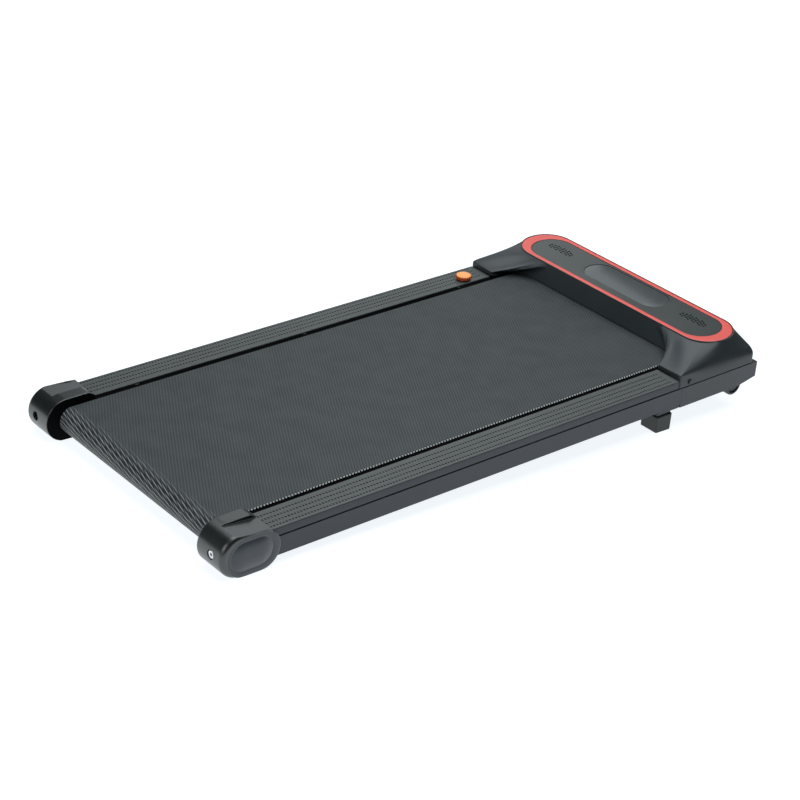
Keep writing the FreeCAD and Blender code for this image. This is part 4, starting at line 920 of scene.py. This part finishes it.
def oil_place(i, j):
    radius, z, grip = cap_rows[j]
    angle = 2 * math.pi * i / (cap_ribs * rib_steps)
    radius -= grip * rib_depth * abs(math.sin(angle * cap_ribs / 2)) ** rib_sharpness
    return oil_x + radius * math.cos(angle), oil_y + radius * math.sin(angle), z


oil_cap = wrapped("oil_cap_grip", cap_ribs * rib_steps + 1, len(cap_rows), oil_place)
oil_top = grained("oil_orange", (0.80, 0.30, 0.075), (0.90, 0.36, 0.10),
                  roughness=(0.30, 0.45), grain=600, depth=0.00005)
oil_side_painted_shade = grained("oil_orange_painted_shade", (0.54, 0.085, 0.010), (0.62, 0.105, 0.014),
                   roughness=(0.30, 0.45), grain=600, depth=0.00005)
oil_cap.data.materials.append(oil_top)
oil_cap.data.materials.append(oil_side_painted_shade)
# Side faces take the deeper orange-red of painted shade.
for face in oil_cap.data.polygons:
    face.material_index = int(face.normal.z < oil_flat)
settle(oil_cap, oil_crease, "oil_cap", "oil_orange", "oil_cap")

# Studio: a pale floor that glows evenly round the pad, one broad softbox overhead, two dimmer panels behind
# and a dark surround, which the camera sees as white. The camera stands where the photograph's did.
floor_size = 40
floor_mottle = 3.0
floor_glow = 0.90
floor_glow_edge = (1.0, 2.2)
floor_white = (0.95, 1.0, 1.03, 1)
bpy.ops.object.select_all(action="DESELECT")
bpy.ops.mesh.primitive_plane_add(size=floor_size)
floor = bpy.context.object
floor.name = "floor"
floor_paint, nodes, links, shader = new_finish("floor_paint")
tone = two_tone(nodes, links, noise(nodes, links, floor_mottle), (0.29, 0.29, 0.29), (0.31, 0.31, 0.31))
links.new(tone, shader.inputs["Base Color"])
shader.inputs["Roughness"].default_value = 0.9
shader.inputs["Emission Color"].default_value = floor_white
reach = nodes.new("ShaderNodeVectorMath")
reach.operation = "LENGTH"
links.new(place_of(nodes), reach.inputs[0])
glow = between(nodes, links, reach.outputs["Value"], floor_glow, 0.0, *floor_glow_edge)
seen = nodes.new("ShaderNodeLightPath").outputs["Is Camera Ray"]
seen_glow = combined(nodes, links, "MULTIPLY", seen, floor_glow)
links.new(combined(nodes, links, "MAXIMUM", glow, seen_glow), shader.inputs["Emission Strength"])
floor.data.materials.append(floor_paint)

surround_glow = 0.03
backdrop_glow = 1.0
scene = bpy.context.scene
scene.world = bpy.data.worlds.new("studio")
scene.world.use_nodes = True
nodes = scene.world.node_tree.nodes
links = scene.world.node_tree.links
backdrop = nodes["Background"]
backdrop.inputs["Color"].default_value = (1, 1, 1, 1)
seen = nodes.new("ShaderNodeLightPath").outputs["Is Camera Ray"]
links.new(between(nodes, links, seen, surround_glow, backdrop_glow), backdrop.inputs["Strength"])
studio_white = (0.93, 1.0, 1.03)


def softbox(name, place, aim, width, height, power):
    lamp = bpy.data.lights.new(name, "AREA")
    lamp.shape = "RECTANGLE"
    lamp.size = width
    lamp.size_y = height
    lamp.energy = power
    lamp.color = studio_white
    made = bpy.data.objects.new(name, lamp)
    scene.collection.objects.link(made)
    made.location = place
    made.rotation_euler = (Vector(aim) - Vector(place)).to_track_quat("-Z", "Y").to_euler()


softbox("overhead_softbox", place=(-0.2, 0.6, 2.6), aim=(-0.2, 0.6, 0), width=3.6, height=3.6, power=125)
softbox("back_panel", place=(-2.59, 1.88, 1.6), aim=(0, 0, 0.15), width=1.6, height=1.8, power=9)
softbox("rear_panel", place=(0.2, -3.0, 1.4), aim=(0, 0, 0.1), width=3.0, height=1.6, power=28)

camera_place = (2.2854, -2.06056, 1.597)
camera_turn = (62.8632, -5.1378, 50.8261)
camera_lens = 95.1
camera_sensor = 36
camera = bpy.data.objects.new("camera", bpy.data.cameras.new("camera"))
scene.collection.objects.link(camera)
camera.location = camera_place
camera.rotation_euler = [math.radians(angle) for angle in camera_turn]
camera.data.lens = camera_lens
camera.data.sensor_width = camera_sensor
scene.camera = camera
scene.view_settings.view_transform = "Standard"
